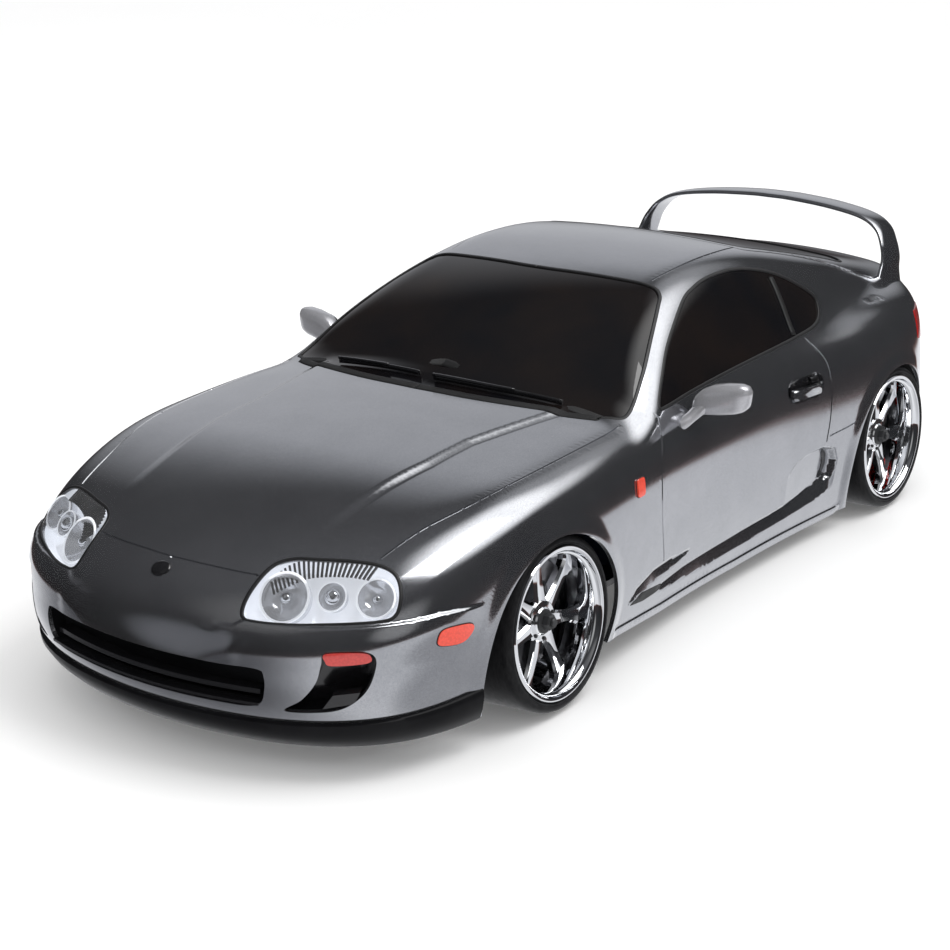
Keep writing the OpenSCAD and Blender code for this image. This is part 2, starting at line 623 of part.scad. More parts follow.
module tie_rod_left() color("silver") at_y(y_front) tie_rod();
module tie_rod_right() color("silver") at_y(y_front) mirror([1, 0, 0]) tie_rod();

module steering_rack() color("#303030") {
    difference() {
        translate([-26, rack_y - 4.3, 24.9]) cube([52, 8.6, 3.2]);
        translate([-1.55, rack_y - 1.6, 20]) cube([3.1, 5.5, 20]);
    }
    for (x = [-22, 22]) translate([x, rack_y, 27]) cylinder(r = 1.2, h = 11);
}

module servo_horn() color("white") {
    difference() {
        union() {
            translate([0, horn_y, 30]) cylinder(r = 4, h = 3);
            translate([-2, horn_y - 10, 30]) cube([4, 8, 3]);
            translate([0, horn_y - 10, 30]) cylinder(r = 2, h = 3);
        }
        translate([0, horn_y, 20]) cylinder(r = 2 + fit, h = 20);
    }
    translate([0, horn_y - 10, 25]) cylinder(r = 1.2, h = 6);
}

// frame of one shock: +Z from its lower eye to its upper eye, Y is the car's
module shock_frame(sgn) {
    d = shock_in - shock_out;
    translate([shock_out[0], sgn * 14, shock_out[1]]) rotate([0, atan2(d[0], d[1]), 0]) children();
}

shock_len = norm(shock_in - shock_out);

module eye(z, r, bore) {
    difference() {
        translate([0, 1.7, z]) rotate([90, 0, 0]) cylinder(r = r, h = 3.4);
        translate([0, 4, z]) rotate([90, 0, 0]) cylinder(r = bore, h = 8);
    }
}

module shock_body(sgn) shock_frame(sgn) {
    eye(shock_len, 2.8, 1.2 + fit);
    difference() {
        translate([0, 0, shock_len - 27]) cylinder(r = 4.1, h = 24.6);
        translate([0, 0, shock_len - 28]) cylinder(r = 1.55, h = 22);
    }
    translate([0, 0, shock_len - 13]) cylinder(r = 5.6, h = 1.6);
}

module shock_shaft(sgn) shock_frame(sgn) {
    eye(0, 2.8, 1.2 + 1.6 * fit);
    translate([0, 0, 2.4]) cylinder(r = 1.5, h = 26);
    translate([0, 0, 3.6]) cylinder(r = 5.6, h = 1.4);
}

// coil between the two collars; stacked rings slightly tilted read as the wire
module shock_spring(sgn) shock_frame(sgn) {
    z0 = 5.1;
    h = shock_len - 13 - 0.1 - z0;
    for (i = [0:6]) translate([0, 0, z0 + 0.6 + (h - 1.2) * i / 6]) rotate_extrude() translate([5, 0]) circle(r = 0.55, $fn = 16);
    for (a = [0, 180]) rotate([0, 0, a]) translate([5, 0, z0 + 0.4]) cylinder(r = 0.35, h = h - 0.8, $fn = 16);
}

// ---------- wheels ----------

// deep dish spoked rim with its hub and axle; +Z points outward from the wheel's middle plane
module rim(inner_len) {
    rotate_extrude($fn = 96) polygon([[24.6, -10.8], [rim_r, -11.4], [rim_r, -12.5], [25.4, -12.5], [23.6, -10.5],
        [23.2, 3], [23.6, 9.5], [25.6, 12.5], [rim_r, 12.5], [rim_r, 11.4], [24.6, 10.8]]);
    for (i = [0:spokes - 1]) rotate([0, 0, 180 + 360 / spokes * i]) translate([5, -2.3, 1.6]) cube([18.6, 4.6, 3.4]);
    translate([0, 0, -1]) cylinder(r = 7.6, h = 6.4);
    // hexagon drive and the nut outside it
    translate([0, 0, -2.7]) cylinder(r = 5.2, h = 2.5, $fn = 6);
    translate([0, 0, 5]) cylinder(r = 4.4, h = 3.2, $fn = 6);
    translate([0, 0, 5]) cylinder(r = axle_r, h = 4.4);
    translate([0, 0, -inner_len]) cylinder(r = axle_r, h = inner_len);
}

module rim_front() {
    rim(11);
    translate([0, 0, -12]) cylinder(r = 3.9, h = 1.2);
}

module rim_rear() {
    rim(17);
    difference() {
        translate([0, 0, -23.2]) cylinder(r = 4.9, h = 6.7);
        translate([0, 0, -24]) cylinder(r = 3.4, h = 6.9);
    }
}

module tyre() rotate_extrude($fn = 120) polygon([[24.8, -10.7], [26.95, -11.2], [26.95, -12.5], [27.6, -12.9],
    [28.8, -13], [29.8, -12.5], [30.5, -11.3], [tyre_r, -9.5], [tyre_r, 9.5], [30.5, 11.3], [29.8, 12.5],
    [28.8, 13], [27.6, 12.9], [26.95, 12.5], [26.95, 11.2], [24.8, 10.7]]);

module fl() at_y(y_front) children();
module fr() at_y(y_front) mirror([1, 0, 0]) children();
module rl() at_y(y_rear) children();
module rr() at_y(y_rear) mirror([1, 0, 0]) children();

module lower_arm_fl() color("#262626") fl() lower_arm(-1);
module lower_arm_fr() color("#262626") fr() lower_arm(-1);
module lower_arm_rl() color("#262626") rl() lower_arm(1);
module lower_arm_rr() color("#262626") rr() lower_arm(1);
module upper_arm_fl() color("silver") fl() upper_arm();
module upper_arm_fr() color("silver") fr() upper_arm();
module upper_arm_rl() color("silver") rl() upper_arm();
module upper_arm_rr() color("silver") rr() upper_arm();
module hub_carrier_fl() color("#303030") fl() carrier_front();
module hub_carrier_fr() color("#303030") fr() carrier_front();
module hub_carrier_rl() color("#303030") rl() carrier_rear();
module hub_carrier_rr() color("#303030") rr() carrier_rear();
module knuckle_left() color("#383838") fl() knuckle();
module knuckle_right() color("#383838") fr() knuckle();
module shock_body_fl() color("#8090a0") fl() shock_body(-1);
module shock_body_fr() color("#8090a0") fr() shock_body(-1);
module shock_body_rl() color("#8090a0") rl() shock_body(1);
module shock_body_rr() color("#8090a0") rr() shock_body(1);
module shock_shaft_fl() color("silver") fl() shock_shaft(-1);
module shock_shaft_fr() color("silver") fr() shock_shaft(-1);
module shock_shaft_rl() color("silver") rl() shock_shaft(1);
module shock_shaft_rr() color("silver") rr() shock_shaft(1);
module shock_spring_fl() color("gold") fl() shock_spring(-1);
module shock_spring_fr() color("gold") fr() shock_spring(-1);
module shock_spring_rl() color("gold") rl() shock_spring(1);
module shock_spring_rr() color("gold") rr() shock_spring(1);
module rim_fl() color("silver") fl() wheel_axis(camber_front) rim_front();
module rim_fr() color("silver") fr() wheel_axis(camber_front) rim_front();
module rim_rl() color("silver") rl() wheel_axis(camber_rear) rim_rear();
module rim_rr() color("silver") rr() wheel_axis(camber_rear) rim_rear();
module tyre_fl() color("#181818") fl() wheel_axis(camber_front) tyre();
module tyre_fr() color("#181818") fr() wheel_axis(camber_front) tyre();
module tyre_rl() color("#181818") rl() wheel_axis(camber_rear) tyre();
module tyre_rr() color("#181818") rr() wheel_axis(camber_rear) tyre();

body_shell();
windows();
rear_wing();
mirrors();
headlight_buckets();
headlight_lenses();
marker_lenses();
tail_lights();
front_lip();
chassis_plate();
front_bulkhead();
gearbox_case();
motor();
battery_pack();
speed_controller();
steering_servo();
bumper_foam();
body_posts();
pinion_gear();
drive_spool();
servo_horn();
steering_rack();
tie_rod_left();
tie_rod_right();
lower_arm_fl();
lower_arm_fr();
lower_arm_rl();
lower_arm_rr();
upper_arm_fl();
upper_arm_fr();
upper_arm_rl();
upper_arm_rr();
hub_carrier_fl();
hub_carrier_fr();
hub_carrier_rl();
hub_carrier_rr();
knuckle_left();
knuckle_right();
driveshaft_left();
driveshaft_right();
shock_body_fl();
shock_body_fr();
shock_body_rl();
shock_body_rr();
shock_shaft_fl();
shock_shaft_fr();
shock_shaft_rl();
shock_shaft_rr();
shock_spring_fl();
shock_spring_fr();
shock_spring_rl();
shock_spring_rr();
rim_fl();
rim_fr();
rim_rl();
rim_rr();
tyre_fl();
tyre_fr();
tyre_rl();
tyre_rr();
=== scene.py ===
import math

import bpy
import numpy as np
from mathutils import Matrix, Vector
from mathutils.geometry import delaunay_2d_cdt
from mathutils.kdtree import KDTree


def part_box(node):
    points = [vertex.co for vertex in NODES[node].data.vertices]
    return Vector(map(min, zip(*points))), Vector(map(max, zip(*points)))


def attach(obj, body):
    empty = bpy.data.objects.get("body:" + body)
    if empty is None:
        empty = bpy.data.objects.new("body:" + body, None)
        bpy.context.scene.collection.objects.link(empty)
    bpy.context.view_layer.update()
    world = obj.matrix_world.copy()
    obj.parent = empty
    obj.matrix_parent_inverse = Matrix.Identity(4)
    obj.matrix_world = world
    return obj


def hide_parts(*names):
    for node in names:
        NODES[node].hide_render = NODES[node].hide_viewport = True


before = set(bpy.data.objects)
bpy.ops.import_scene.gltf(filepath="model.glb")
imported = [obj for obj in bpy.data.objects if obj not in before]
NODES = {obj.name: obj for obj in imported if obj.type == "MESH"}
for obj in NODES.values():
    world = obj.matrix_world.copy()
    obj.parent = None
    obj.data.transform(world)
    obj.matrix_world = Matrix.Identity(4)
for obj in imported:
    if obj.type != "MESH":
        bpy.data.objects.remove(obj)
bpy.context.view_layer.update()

# Lengths in the geometry functions are millimetres; make() turns them into metres.
MM = 0.001


def middle(node):
    low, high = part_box(node)
    return (low + high) / 2 / MM


AXLE_F = round(middle("tyre_fl").y, 1)
AXLE_R = round(middle("tyre_rl").y, 1)
HUB_Z = round(middle("tyre_fl").z, 1)
WHEEL_X = 79.5
ARCH_F = (AXLE_F - 2.5, 26, 38)
ARCH_R = (AXLE_R - 0.5, 26, 37.5)
SHELL = "shell"

# ---------------------------------------------------------------- shell surface
# Same curves as the CAD shell: one value each 30 mm from the nose to the tail.

STATION0, STATION = -228.5, 30.0
NOSE_Y, TAIL_Y = -228.7, 228.4
BONNET_H = [58.5, 71, 79.5, 84.5, 86.7, 88.5, 89, 89, 89.7, 90.7, 92, 93.2, 94.6, 95, 93, 89.7, 84]
CROWN_H = [8, 7, 5.2, 3.5, 4.3, 4.4, 4.8, 5, 5, 5, 5, 5, 5, 5.7, 7.6, 7.7, 8]
HALF_W = [86.4, 88, 90, 93, 94, 92.5, 90, 88.2, 87.6, 88, 90, 92.8, 94.6, 91.6, 80, 66.2, 52.3]
ROOF_H = [-41, -19, 4, 27.3, 58, 84.7, 103, 115.5, 123.8, 125.8, 123.6, 117, 110, 103.2, 95, 86.3, 76.6]
ROOF_W = [60, 70, 78, 82.2, 84.2, 84, 82.7, 80.7, 80, 80.7, 80.6, 79, 75.2, 69.4, 61.6, 52.6, 42.3]


def curve(values, y):
    t = np.clip((y - STATION0) / STATION, 0, 15.9999)
    i = t.astype(int)
    u = t - i
    v = np.array(values, float)
    a, b, c, d = (v[np.clip(i + k, 0, 16)] for k in (-1, 0, 1, 2))
    return (
        (1 - u) ** 3 * a + (3 * u**3 - 6 * u * u + 4) * b
        + (-3 * u**3 + 3 * u * u + 3 * u + 1) * c + u**3 * d
    ) / 6


def soft_max(a, b, r):
    h = np.maximum(r - np.abs(a - b), 0) / r
    return np.maximum(a, b) + h**3 * r / 6


def step(x, a, b):
    s = np.clip((x - a) / (b - a), 0, 1)
    return s * s * (3 - 2 * s)


def lower_value(x, y, z):
    top = z - (curve(BONNET_H, y) - curve(CROWN_H, y) * x * x / 6400)
    side = x - curve(HALF_W, y) + np.where(z > 44, 0.0022, 0.0045) * (z - 44) ** 2
    front = NOSE_Y + 0.0034 * x * x + np.where(z > 35, 0.0119, 0.02) * (z - 35) ** 2 - y
    rear = y - TAIL_Y + 0.00364 * x * x + 0.0025 * (z - 60) ** 2
    ends = soft_max(soft_max(side, front, 56), rear, 37)
    return soft_max(ends, top, 24.3)


def cabin_value(x, y, z):
    yy = y - 0.00255 * x * x * np.clip((31.5 - y) / 80, 0, 1)
    top = (z - curve(ROOF_H, yy) + 0.00096 * x * x) * 0.93
    h = soft_max(z - 84, 0, 10)
    side = (x - curve(ROOF_W, y) + 0.5165 * h + 0.004 * h * h) * 0.9
    return np.maximum(soft_max(side, top, 14), np.abs(y - 21.5) - 190)


def shell_value(x, y, z):
    x = np.sqrt(x * x + 0.01)
    return -soft_max(-lower_value(x, y, z), -cabin_value(x, y, z), 9)


def solve(origin, direction, far, level=0.0):
    """First place along each ray where the shell value reaches level, found by halving."""
    low = np.zeros(len(origin))
    high = np.full(len(origin), float(far))
    for _ in range(24):
        half = (low + high) / 2
        p = origin + direction * half[:, None]
        inside = shell_value(p[:, 0], p[:, 1], p[:, 2]) < level
        low = np.where(inside, half, low)
        high = np.where(inside, high, half)
    return origin + direction * ((low + high) / 2)[:, None]


def on_top(points):
    """(x, y) pairs carried up onto the shell."""
    p = np.array(points, float)
    o = np.c_[p, np.full(len(p), 40.0)]
    return solve(o, np.tile([0.0, 0, 1], (len(p), 1)), 100)


def on_side(points):
    """(y, z) pairs carried out to the left side of the shell."""
    p = np.array(points, float)
    o = np.c_[np.zeros(len(p)), p]
    return solve(o, np.tile([1.0, 0, 0], (len(p), 1)), 130)


def on_front(points):
    p = np.array(points, float)
    o = np.c_[p[:, 0], np.full(len(p), -130.0), p[:, 1]]
    return solve(o, np.tile([0.0, -1, 0], (len(p), 1)), 110)


def on_rear(points):
    p = np.array(points, float)
    o = np.c_[p[:, 0], np.full(len(p), 150.0), p[:, 1]]
    return solve(o, np.tile([0.0, 1, 0], (len(p), 1)), 90)


# The shell is unrolled to a plane (u, v): planes across the car between the two wheel arches, and
# fans of planes about the arch centres in front of and behind them, so the poles lie in the arches.
FAN_R, SIDE_R, SPINE_Z = 100.0, 75.0, 26.0


def to_plane(p):
    yc = np.clip(p[:, 1], ARCH_F[0], ARCH_R[0])
    dy = p[:, 1] - yc
    dz = p[:, 2] - SPINE_Z
    t = np.where(dy == 0, 0, np.arctan2(np.abs(dy), dz))
    beta = np.arctan2(p[:, 0], np.where(dy == 0, dz, np.hypot(dy, dz)))
    return np.c_[yc + np.sign(dy) * t * FAN_R, beta * SIDE_R]


def base_point(uv, level=0.0):
    yc = np.clip(uv[:, 0], ARCH_F[0], ARCH_R[0])
    t = (uv[:, 0] - yc) / FAN_R
    b = uv[:, 1] / SIDE_R
    origin = np.c_[np.zeros(len(uv)), yc, np.full(len(uv), SPINE_Z)]
    direction = np.c_[np.sin(b), np.sin(t) * np.cos(b), np.cos(t) * np.cos(b)]
    return solve(origin, direction, 190, level)


def shell_normal(p):
    h = 0.05
    g = []
    for k in range(3):
        d = np.zeros(3)
        d[k] = h
        a, b = p + d, p - d
        g.append(shell_value(a[:, 0], a[:, 1], a[:, 2]) - shell_value(b[:, 0], b[:, 1], b[:, 2]))
    g = np.array(g).T
    return g / np.linalg.norm(g, axis=1)[:, None]


# ---------------------------------------------------------------- relief of the shell

BAND_UP = ([-50, -31.8, 2.4, 36.1, 60.1, 90], [22.6, 23.8, 23.6, 24.0, 25.5, 29])
SCOOP_TOP = ([48, 52.5, 57.7, 64.2, 75, 84.1, 86.6], [37, 41, 42.7, 43.4, 43.3, 40.5, 36])
SCOOP_REAR = ([75, 80.2, 85.3, 86.6, 84.1, 77], [20, 23.8, 27.6, 34.9, 40.5, 43.3])
BAND_LOW = ([-50, -15.3, 16.7, 49.7, 72.8, 90], [19.6, 17.1, 16.7, 18.1, 20.0, 24])
SILL = ([-230, -160, -88, -77, -45, 15, 92, 100, 180], [11, 11.5, 13.5, 12.8, 10.2, 8.2, 8.2, 9, 14])


def relief(p):
    """How far the moulded details stand out of the plain surface, in mm, at points with x >= 0."""
    x, y, z = p.T
    # raised middle of the bonnet between two creases
    edge = np.interp(y, [-178, -153.5, -133.5, -110.5, -72.5, -60], [43, 45, 47.5, 48, 55.2, 57])
    fade = step(y, -192, -140) * (1 - step(y, -70, -58)) * step(z, 66, 74)
    out = 1.5 * fade * (1 - step(x, edge - 3.2, edge + 2.2))
    # shelf under the headlamps, running back to the wheel arch
    turn = np.degrees(np.arctan2(x, ARCH_F[0] - y))
    shelf = np.interp(turn, [10, 20, 22, 37.6, 49.5, 57, 66, 75], [50, 52, 54, 53.6, 54, 54.3, 53, 52])
    span = step(turn, 12, 21) * (1 - step(turn, 58, 68)) * (y < ARCH_F[0])
    out += 1.5 * span * (1 - step(z, shelf - 0.9, shelf + 0.7)) * step(z, shelf - 15, shelf - 3)
    # crescent vent behind the front arch
    up = np.interp(y, [-74, -69.2, -56.9, -43.3, -27.5], [23.4, 27.9, 31, 31.1, 29.8])
    low = np.interp(y, [-74, -63.6, -50.8, -39.8, -27.5], [23.2, 24.2, 26.1, 27.1, 29.6])
    inside = (y > -74) & (y < -27.5) & (x > 60)
    ramp = np.clip((up - z) / np.maximum(up - low, 0.3), 0, 1)
    out -= np.where(inside, 1.7 * (1 - ramp) * step(up - z, 0, 0.5), 0)
    # sharp edged ramp along the foot of the door, deepening to the rear
    up = np.interp(y, *BAND_UP)
    low = np.interp(y, *BAND_LOW)
    depth = np.interp(y, [-52, -46, 20, 60, 80, 86], [0, 1.9, 3.2, 3.9, 3.4, 0])
    ramp = np.clip((up - z) / (up - low), 0, 1)
    band = np.where(x > 60, depth * (1 - ramp) * step(up - z, 0, 0.6), 0)
    # side scoop in front of the rear arch
    rear = np.interp(z, SCOOP_REAR[1], SCOOP_REAR[0])
    fall = np.clip((y - 48) / 32, 0, 1) * step(np.interp(y, *SCOOP_TOP) - z, 0, 1.6)
    scoop = 3.4 * fall * (1 - ramp) * (1 - step(y, rear - 2.5, rear))
    out -= np.where(x > 60, np.maximum(band, scoop), 0)
    # door handle hollow
    a = np.abs((y - 61.8) / 12.6) ** 3 + np.abs((z - 70.8) / 3.7) ** 3
    out -= np.where(x > 60, 1.9 * (1 - step(a, 0.55, 1.15)), 0)
    # wheel arch flares
    for yc, zc, r in (ARCH_F, ARCH_R):
        d = np.hypot(y - yc, z - zc) - r
        out += np.where(x > 60, 0.9 * (1 - step(d, 0, 7)), 0)
    # skirt foot stands out a little
    foot = np.interp(y, *SILL) + 3.4
    out += np.where((x > 60) & (np.abs(y - 6) < 90), 0.5 * (1 - step(z, foot - 0.3, foot + 0.3)), 0)
    # small hollow on the rear quarter
    d = np.hypot((y - 143) / 7.5, (x - 77) / 1.6)
    out -= np.where(z > 80, 0.9 * (1 - step(d, 0.5, 1.1)), 0)
    return out


def surface(uv, level=0.0):
    p = base_point(uv)
    return p + shell_normal(p) * (relief(p) + level)[:, None]


def surface_normal(uv, level=0.0, h=0.22):
    du = surface(uv + [h, 0], level) - surface(uv - [h, 0], level)
    dv = surface(uv + [0, h], level) - surface(uv - [0, h], level)
    n = np.cross(dv, du)
    n /= np.maximum(np.linalg.norm(n, axis=1), 1e-9)[:, None]
    flip = np.einsum("ij,ij->i", n, shell_normal(base_point(uv))) < 0
    n[flip] *= -1
    return n


# ---------------------------------------------------------------- curves and outlines


def resample(points, gap, closed=False):
    p = np.array(points, float)
    if closed:
        p = np.vstack([p, p[:1]])
    s = np.r_[0, np.cumsum(np.linalg.norm(np.diff(p, axis=0), axis=1))]
    n = max(int(round(s[-1] / gap)), 2)
    at = np.linspace(0, s[-1], n + 1)
    out = np.array([np.interp(at, s, p[:, k]) for k in range(p.shape[1])]).T
    return out[:-1] if closed else out


def smooth(points, gap, closed=False):
    """Catmull-Rom curve through the points, resampled."""
    p = np.array(points, float)
    n = len(p)
    out = []
    for i in range(n if closed else n - 1):
        if closed:
            q = [p[(i + k) % n] for k in (-1, 0, 1, 2)]
        else:
            q = [p[max(i - 1, 0)], p[i], p[i + 1], p[min(i + 2, n - 1)]]
        for t in np.linspace(0, 1, 12, endpoint=False):
            out.append(0.5 * (2 * q[1] + (q[2] - q[0]) * t
                + (2 * q[0] - 5 * q[1] + 4 * q[2] - q[3]) * t * t
                + (3 * q[1] - q[0] - 3 * q[2] + q[3]) * t**3))
    if not closed:
        out.append(p[-1])
    return resample(out, gap, closed)


def rounded(points, radius, gap=1.2):
    """Closed polygon with its corners turned to arcs; radius is one value or one a corner."""
    p = np.array(points, float)
    n = len(p)
    r = np.broadcast_to(radius, n)
    out = []
    for i in range(n):
        a, b, c = p[i - 1], p[i], p[(i + 1) % n]
        la, lc = np.linalg.norm(a - b), np.linalg.norm(c - b)
        ra = min(r[i], la * 0.48, lc * 0.48)
        if ra < 0.05:
            out.append(b)
            continue
        s, e = b + (a - b) / la * ra, b + (c - b) / lc * ra
        for t in np.linspace(0, 1, 8):
            out.append((1 - t) ** 2 * s + 2 * t * (1 - t) * b + t * t * e)
    return resample(out, gap, True)


def half_loop(points, gap, carry):
    """Open curve whose ends lie on the middle plane, as a loop in the unrolled plane."""
    uv = to_plane(carry(smooth(points, gap)))
    uv[0, 1] = uv[-1, 1] = 0
    return uv


def inside_loop(uv, loop):
    x, y = uv.T
    hit = np.zeros(len(uv), bool)
    for (x0, y0), (x1, y1) in zip(loop, np.roll(loop, -1, axis=0)):
        if y0 == y1:
            continue
        cross = (y0 > y) != (y1 > y)
        hit ^= cross & (x < (x1 - x0) * (y - y0) / (y1 - y0) + x0)
    return hit


# ---------------------------------------------------------------- mesh making


def make(name, points, faces, material, body=SHELL, slot=None, smooth_angle=None, normals=None):
    mesh = bpy.data.meshes.new(name)
    mesh.from_pydata((np.array(points) * MM).tolist(), [], [tuple(int(i) for i in f) for f in faces])
    mesh.validate()
    mesh.materials.append(material)
    mesh.shade_smooth()
    if smooth_angle is not None:
        mesh.set_sharp_from_angle(angle=math.radians(smooth_angle))
    if normals is not None:
        loops = np.zeros(len(mesh.loops), int)
        mesh.loops.foreach_get("vertex_index", loops)
        flat, table = normals
        vectors = table[loops]
        for poly in mesh.polygons:
            if flat[list(poly.vertices)].any():
                for k in poly.loop_indices:
                    vectors[k] = poly.normal
        mesh.normals_split_custom_set(vectors.tolist())
    piece = bpy.data.objects.new(name, mesh)
    bpy.context.scene.collection.objects.link(piece)
    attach(piece, body)
    return piece


def mirrored(points, faces, weld=1e-4):
    """Adds the right hand copy of a left hand mesh, sharing what lies on the middle plane."""
    p = np.array(points)
    index = np.arange(len(p))
    other = index + len(p)
    on_plane = np.abs(p[:, 0]) < weld
    other[on_plane] = index[on_plane]
    both = np.vstack([p, p * [-1, 1, 1]])
    more = [tuple(other[i] for i in reversed(f)) for f in faces]
    return both, list(faces) + more


def triangulate(outer, holes, seams, gap, finer=()):
    """Fills the loops of the unrolled plane with triangles. seams are open lines kept as edges, as
    (points, depth) pairs; gives points, triangles and the depth of each point."""
    points, depth, edges = [], [], []

    def add(line, d, closed):
        start = len(points)
        points.extend(map(tuple, line))
        depth.extend([d] * len(line))
        n = len(line)
        edges.extend((start + i, start + (i + 1) % n) for i in range(n if closed else n - 1))

    add(outer, 0, True)
    for h in holes:
        add(h, 0, True)
    for line, d in seams:
        add(line, d, False)
    fixed = np.array(points)
    low, high = outer.min(0), outer.max(0)
    rows = []
    for k, u in enumerate(np.arange(low[0] + gap / 2, high[0], gap * 0.87)):
        v = np.arange(low[1] + (gap / 2 if k % 2 else 0), high[1], gap)
        rows.append(np.c_[np.full(len(v), u), v])
    cloud = np.vstack(rows)
    for (u0, u1, v0, v1), g in finer:
        box = (cloud[:, 0] > u0) & (cloud[:, 0] < u1) & (cloud[:, 1] > v0) & (cloud[:, 1] < v1)
        cloud = cloud[~box]
        uu, vv = np.meshgrid(np.arange(u0, u1, g), np.arange(v0, v1, g))
        cloud = np.vstack([cloud, np.c_[uu.ravel(), vv.ravel()]])
    keep = inside_loop(cloud, outer)
    for h in holes:
        keep &= ~inside_loop(cloud, h)
    cloud = cloud[keep]
    tree = KDTree(len(fixed))
    for i, q in enumerate(fixed):
        tree.insert((q[0], q[1], 0), i)
    tree.balance()
    clear = 0.42 * min([gap] + [g for _, g in finer])
    near = np.array([tree.find((q[0], q[1], 0))[2] for q in cloud])
    cloud = cloud[near > clear]
    depth.extend([0] * len(cloud))
    coords = [Vector(q) for q in np.vstack([fixed, cloud])]
    verts, _, tris, ids, _, _ = delaunay_2d_cdt(coords, edges, [], 0, 1e-5)
    uv = np.array([(v.x, v.y) for v in verts])
    d = np.array([max((depth[i] for i in group), default=-1.0) for group in ids])
    for i in np.flatnonzero(d < 0):
        d[i] = depth[tree.find((uv[i, 0], uv[i, 1], 0))[1]]
    tris = np.array(tris)
    centre = uv[tris].mean(1)
    keep = inside_loop(centre, outer)
    for h in holes:
        keep &= ~inside_loop(centre, h)
    return uv, tris[keep], d


def edge_loops(tris):
    """Edges that belong to one triangle only, in their triangle's direction."""
    e = np.vstack([tris[:, [0, 1]], tris[:, [1, 2]], tris[:, [2, 0]]])
    key = np.sort(e, axis=1)
    _, first, count = np.unique(key, axis=0, return_index=True, return_counts=True)
    return e[first[count == 1]]


# depth of the first row of a rolled in sheet edge
EDGE_ROLL = 0.35


def shell_sheet(name, outer, holes, material, gap, seams=(), finer=(), level=0.0, rim=0.0, both=True,
    creases=(),
        **kw):
    """Part of the shell surface inside a loop of the unrolled plane, with rolled in edges."""
    lines = []
    for line in seams:
        lines += seam_lines(line)
    lines += [(line, 0) for line in creases]
    uv, tris, depth = triangulate(outer, holes, lines, gap, finer)
    used = np.unique(tris)
    remap = np.full(len(uv), -1)
    remap[used] = np.arange(len(used))
    uv, tris, depth = uv[used], remap[tris], depth[used]
    p = surface(uv, level)
    n = surface_normal(uv, level)
    p = p - n * depth[:, None]
    on_plane = np.abs(uv[:, 1]) < 1e-6
    p[on_plane, 0] = 0
    n[on_plane, 0] = 0
    a, b, c = p[tris[:, 0]], p[tris[:, 1]], p[tris[:, 2]]
    facing = np.einsum("ij,ij->i", np.cross(b - a, c - a), n[tris[:, 0]])
    if np.median(facing) < 0:
        tris = tris[:, ::-1]
    faces = [tuple(t) for t in tris]
    flat = depth > 0
    if rim:
        border = edge_loops(tris)
        border = [e for e in border if not (on_plane[e[0]] and on_plane[e[1]])]
        ring = sorted({i for e in border for i in e})
        size = len(p)
        rows = []
        for down in (EDGE_ROLL, rim):
            rows.append({i: size + k for k, i in enumerate(ring)})
            size += len(ring)
            p = np.vstack([p, p[ring] - n[ring] * down])
            n = np.vstack([n, n[ring]])
            flat = np.r_[flat, np.ones(len(ring), bool)]
        for i, j in border:
            faces.append((j, i, rows[0][i], rows[0][j]))
            faces.append((rows[0][j], rows[0][i], rows[1][i], rows[1][j]))
    if both:
        p, faces = mirrored(p, faces)
        n = np.vstack([n, n * [-1, 1, 1]])
        flat = np.r_[flat, flat]
    return make(name, p, faces, material, normals=(flat, n), **kw)


def seam_lines(line, width=0.42, deep=0.5):
    """Three lines of a scored groove along a curve on the shell, with their depths."""
    p = line
    t = np.gradient(p, axis=0)
    n = shell_normal(p)
    b = np.cross(t, n)
    b /= np.linalg.norm(b, axis=1)[:, None]
    out = []
    for side, depth in ((-1, 0.0001), (-0.45, deep), (0.45, deep), (1, 0.0001)):
        q = to_plane(p + b * width * side)
        out.append((q[q[:, 1] > 0.05] if q[:, 1].min() < 0.3 else q, depth))
    return out


def swept(path, normals, profile, closed=True, taper=None):
    """Mesh of a ribbon along a path: profile is (across, up) pairs, up along the surface normal."""
    n = len(path)
    t = np.roll(path, -1, 0) - np.roll(path, 1, 0) if closed else np.gradient(path, axis=0)
    t /= np.linalg.norm(t, axis=1)[:, None]
    across = np.cross(t, normals)
    across /= np.linalg.norm(across, axis=1)[:, None]
    m = len(profile)
    size = np.ones(n) if taper is None else taper
    p = np.vstack([[path[i] + (across[i] * a + normals[i] * u) * size[i] for a,
        u in profile] for i in range(n)])
    faces = []
    for i in range(n if closed else n - 1):
        j = (i + 1) % n
        for k in range(m):
            l = (k + 1) % m
            faces.append((i * m + k, i * m + l, j * m + l, j * m + k))
    if not closed:
        faces += [tuple(range(m))[::-1], tuple((n - 1) * m + k for k in range(m))]
    return p, faces


def sweep(name, path, normals, profile, material, closed=True, both=True, taper=None, **kw):
    p, faces = swept(path, normals, profile, closed, taper)
    if both:
        p, faces = mirrored(p, faces, -1)
    return make(name, p, faces, material, **kw)


def lathe(profile, n, closed=False):
    """(radius, height) pairs turned about +Z: points and faces."""
    m = len(profile)
    p = [(r * math.cos(2 * math.pi * i / n), r * math.sin(2 * math.pi * i / n), h)
        for i in range(n) for r, h in profile]
    faces = []
    for i in range(n):
        j = (i + 1) % n
        for k in range(m if closed else m - 1):
            l = (k + 1) % m
            faces.append((i * m + k, j * m + k, j * m + l, i * m + l))
    return np.array(p, float), faces


def joined(parts):
    points, faces = [], []
    for p, f in parts:
        start = len(points)
        points.extend(map(tuple, np.array(p)))
        faces.extend(tuple(start + i for i in face) for face in f)
    return np.array(points), faces


def placed(part, origin, axis, roll=0.0):
    """Mesh with its +Z turned to axis and moved to origin."""
    p, f = part
    z = Vector(axis).normalized()
    turn = z.to_track_quat("Z", "Y").to_matrix() @ Matrix.Rotation(roll, 3, "Z")
    return np.array(p) @ np.array(turn).T + np.array(origin), f


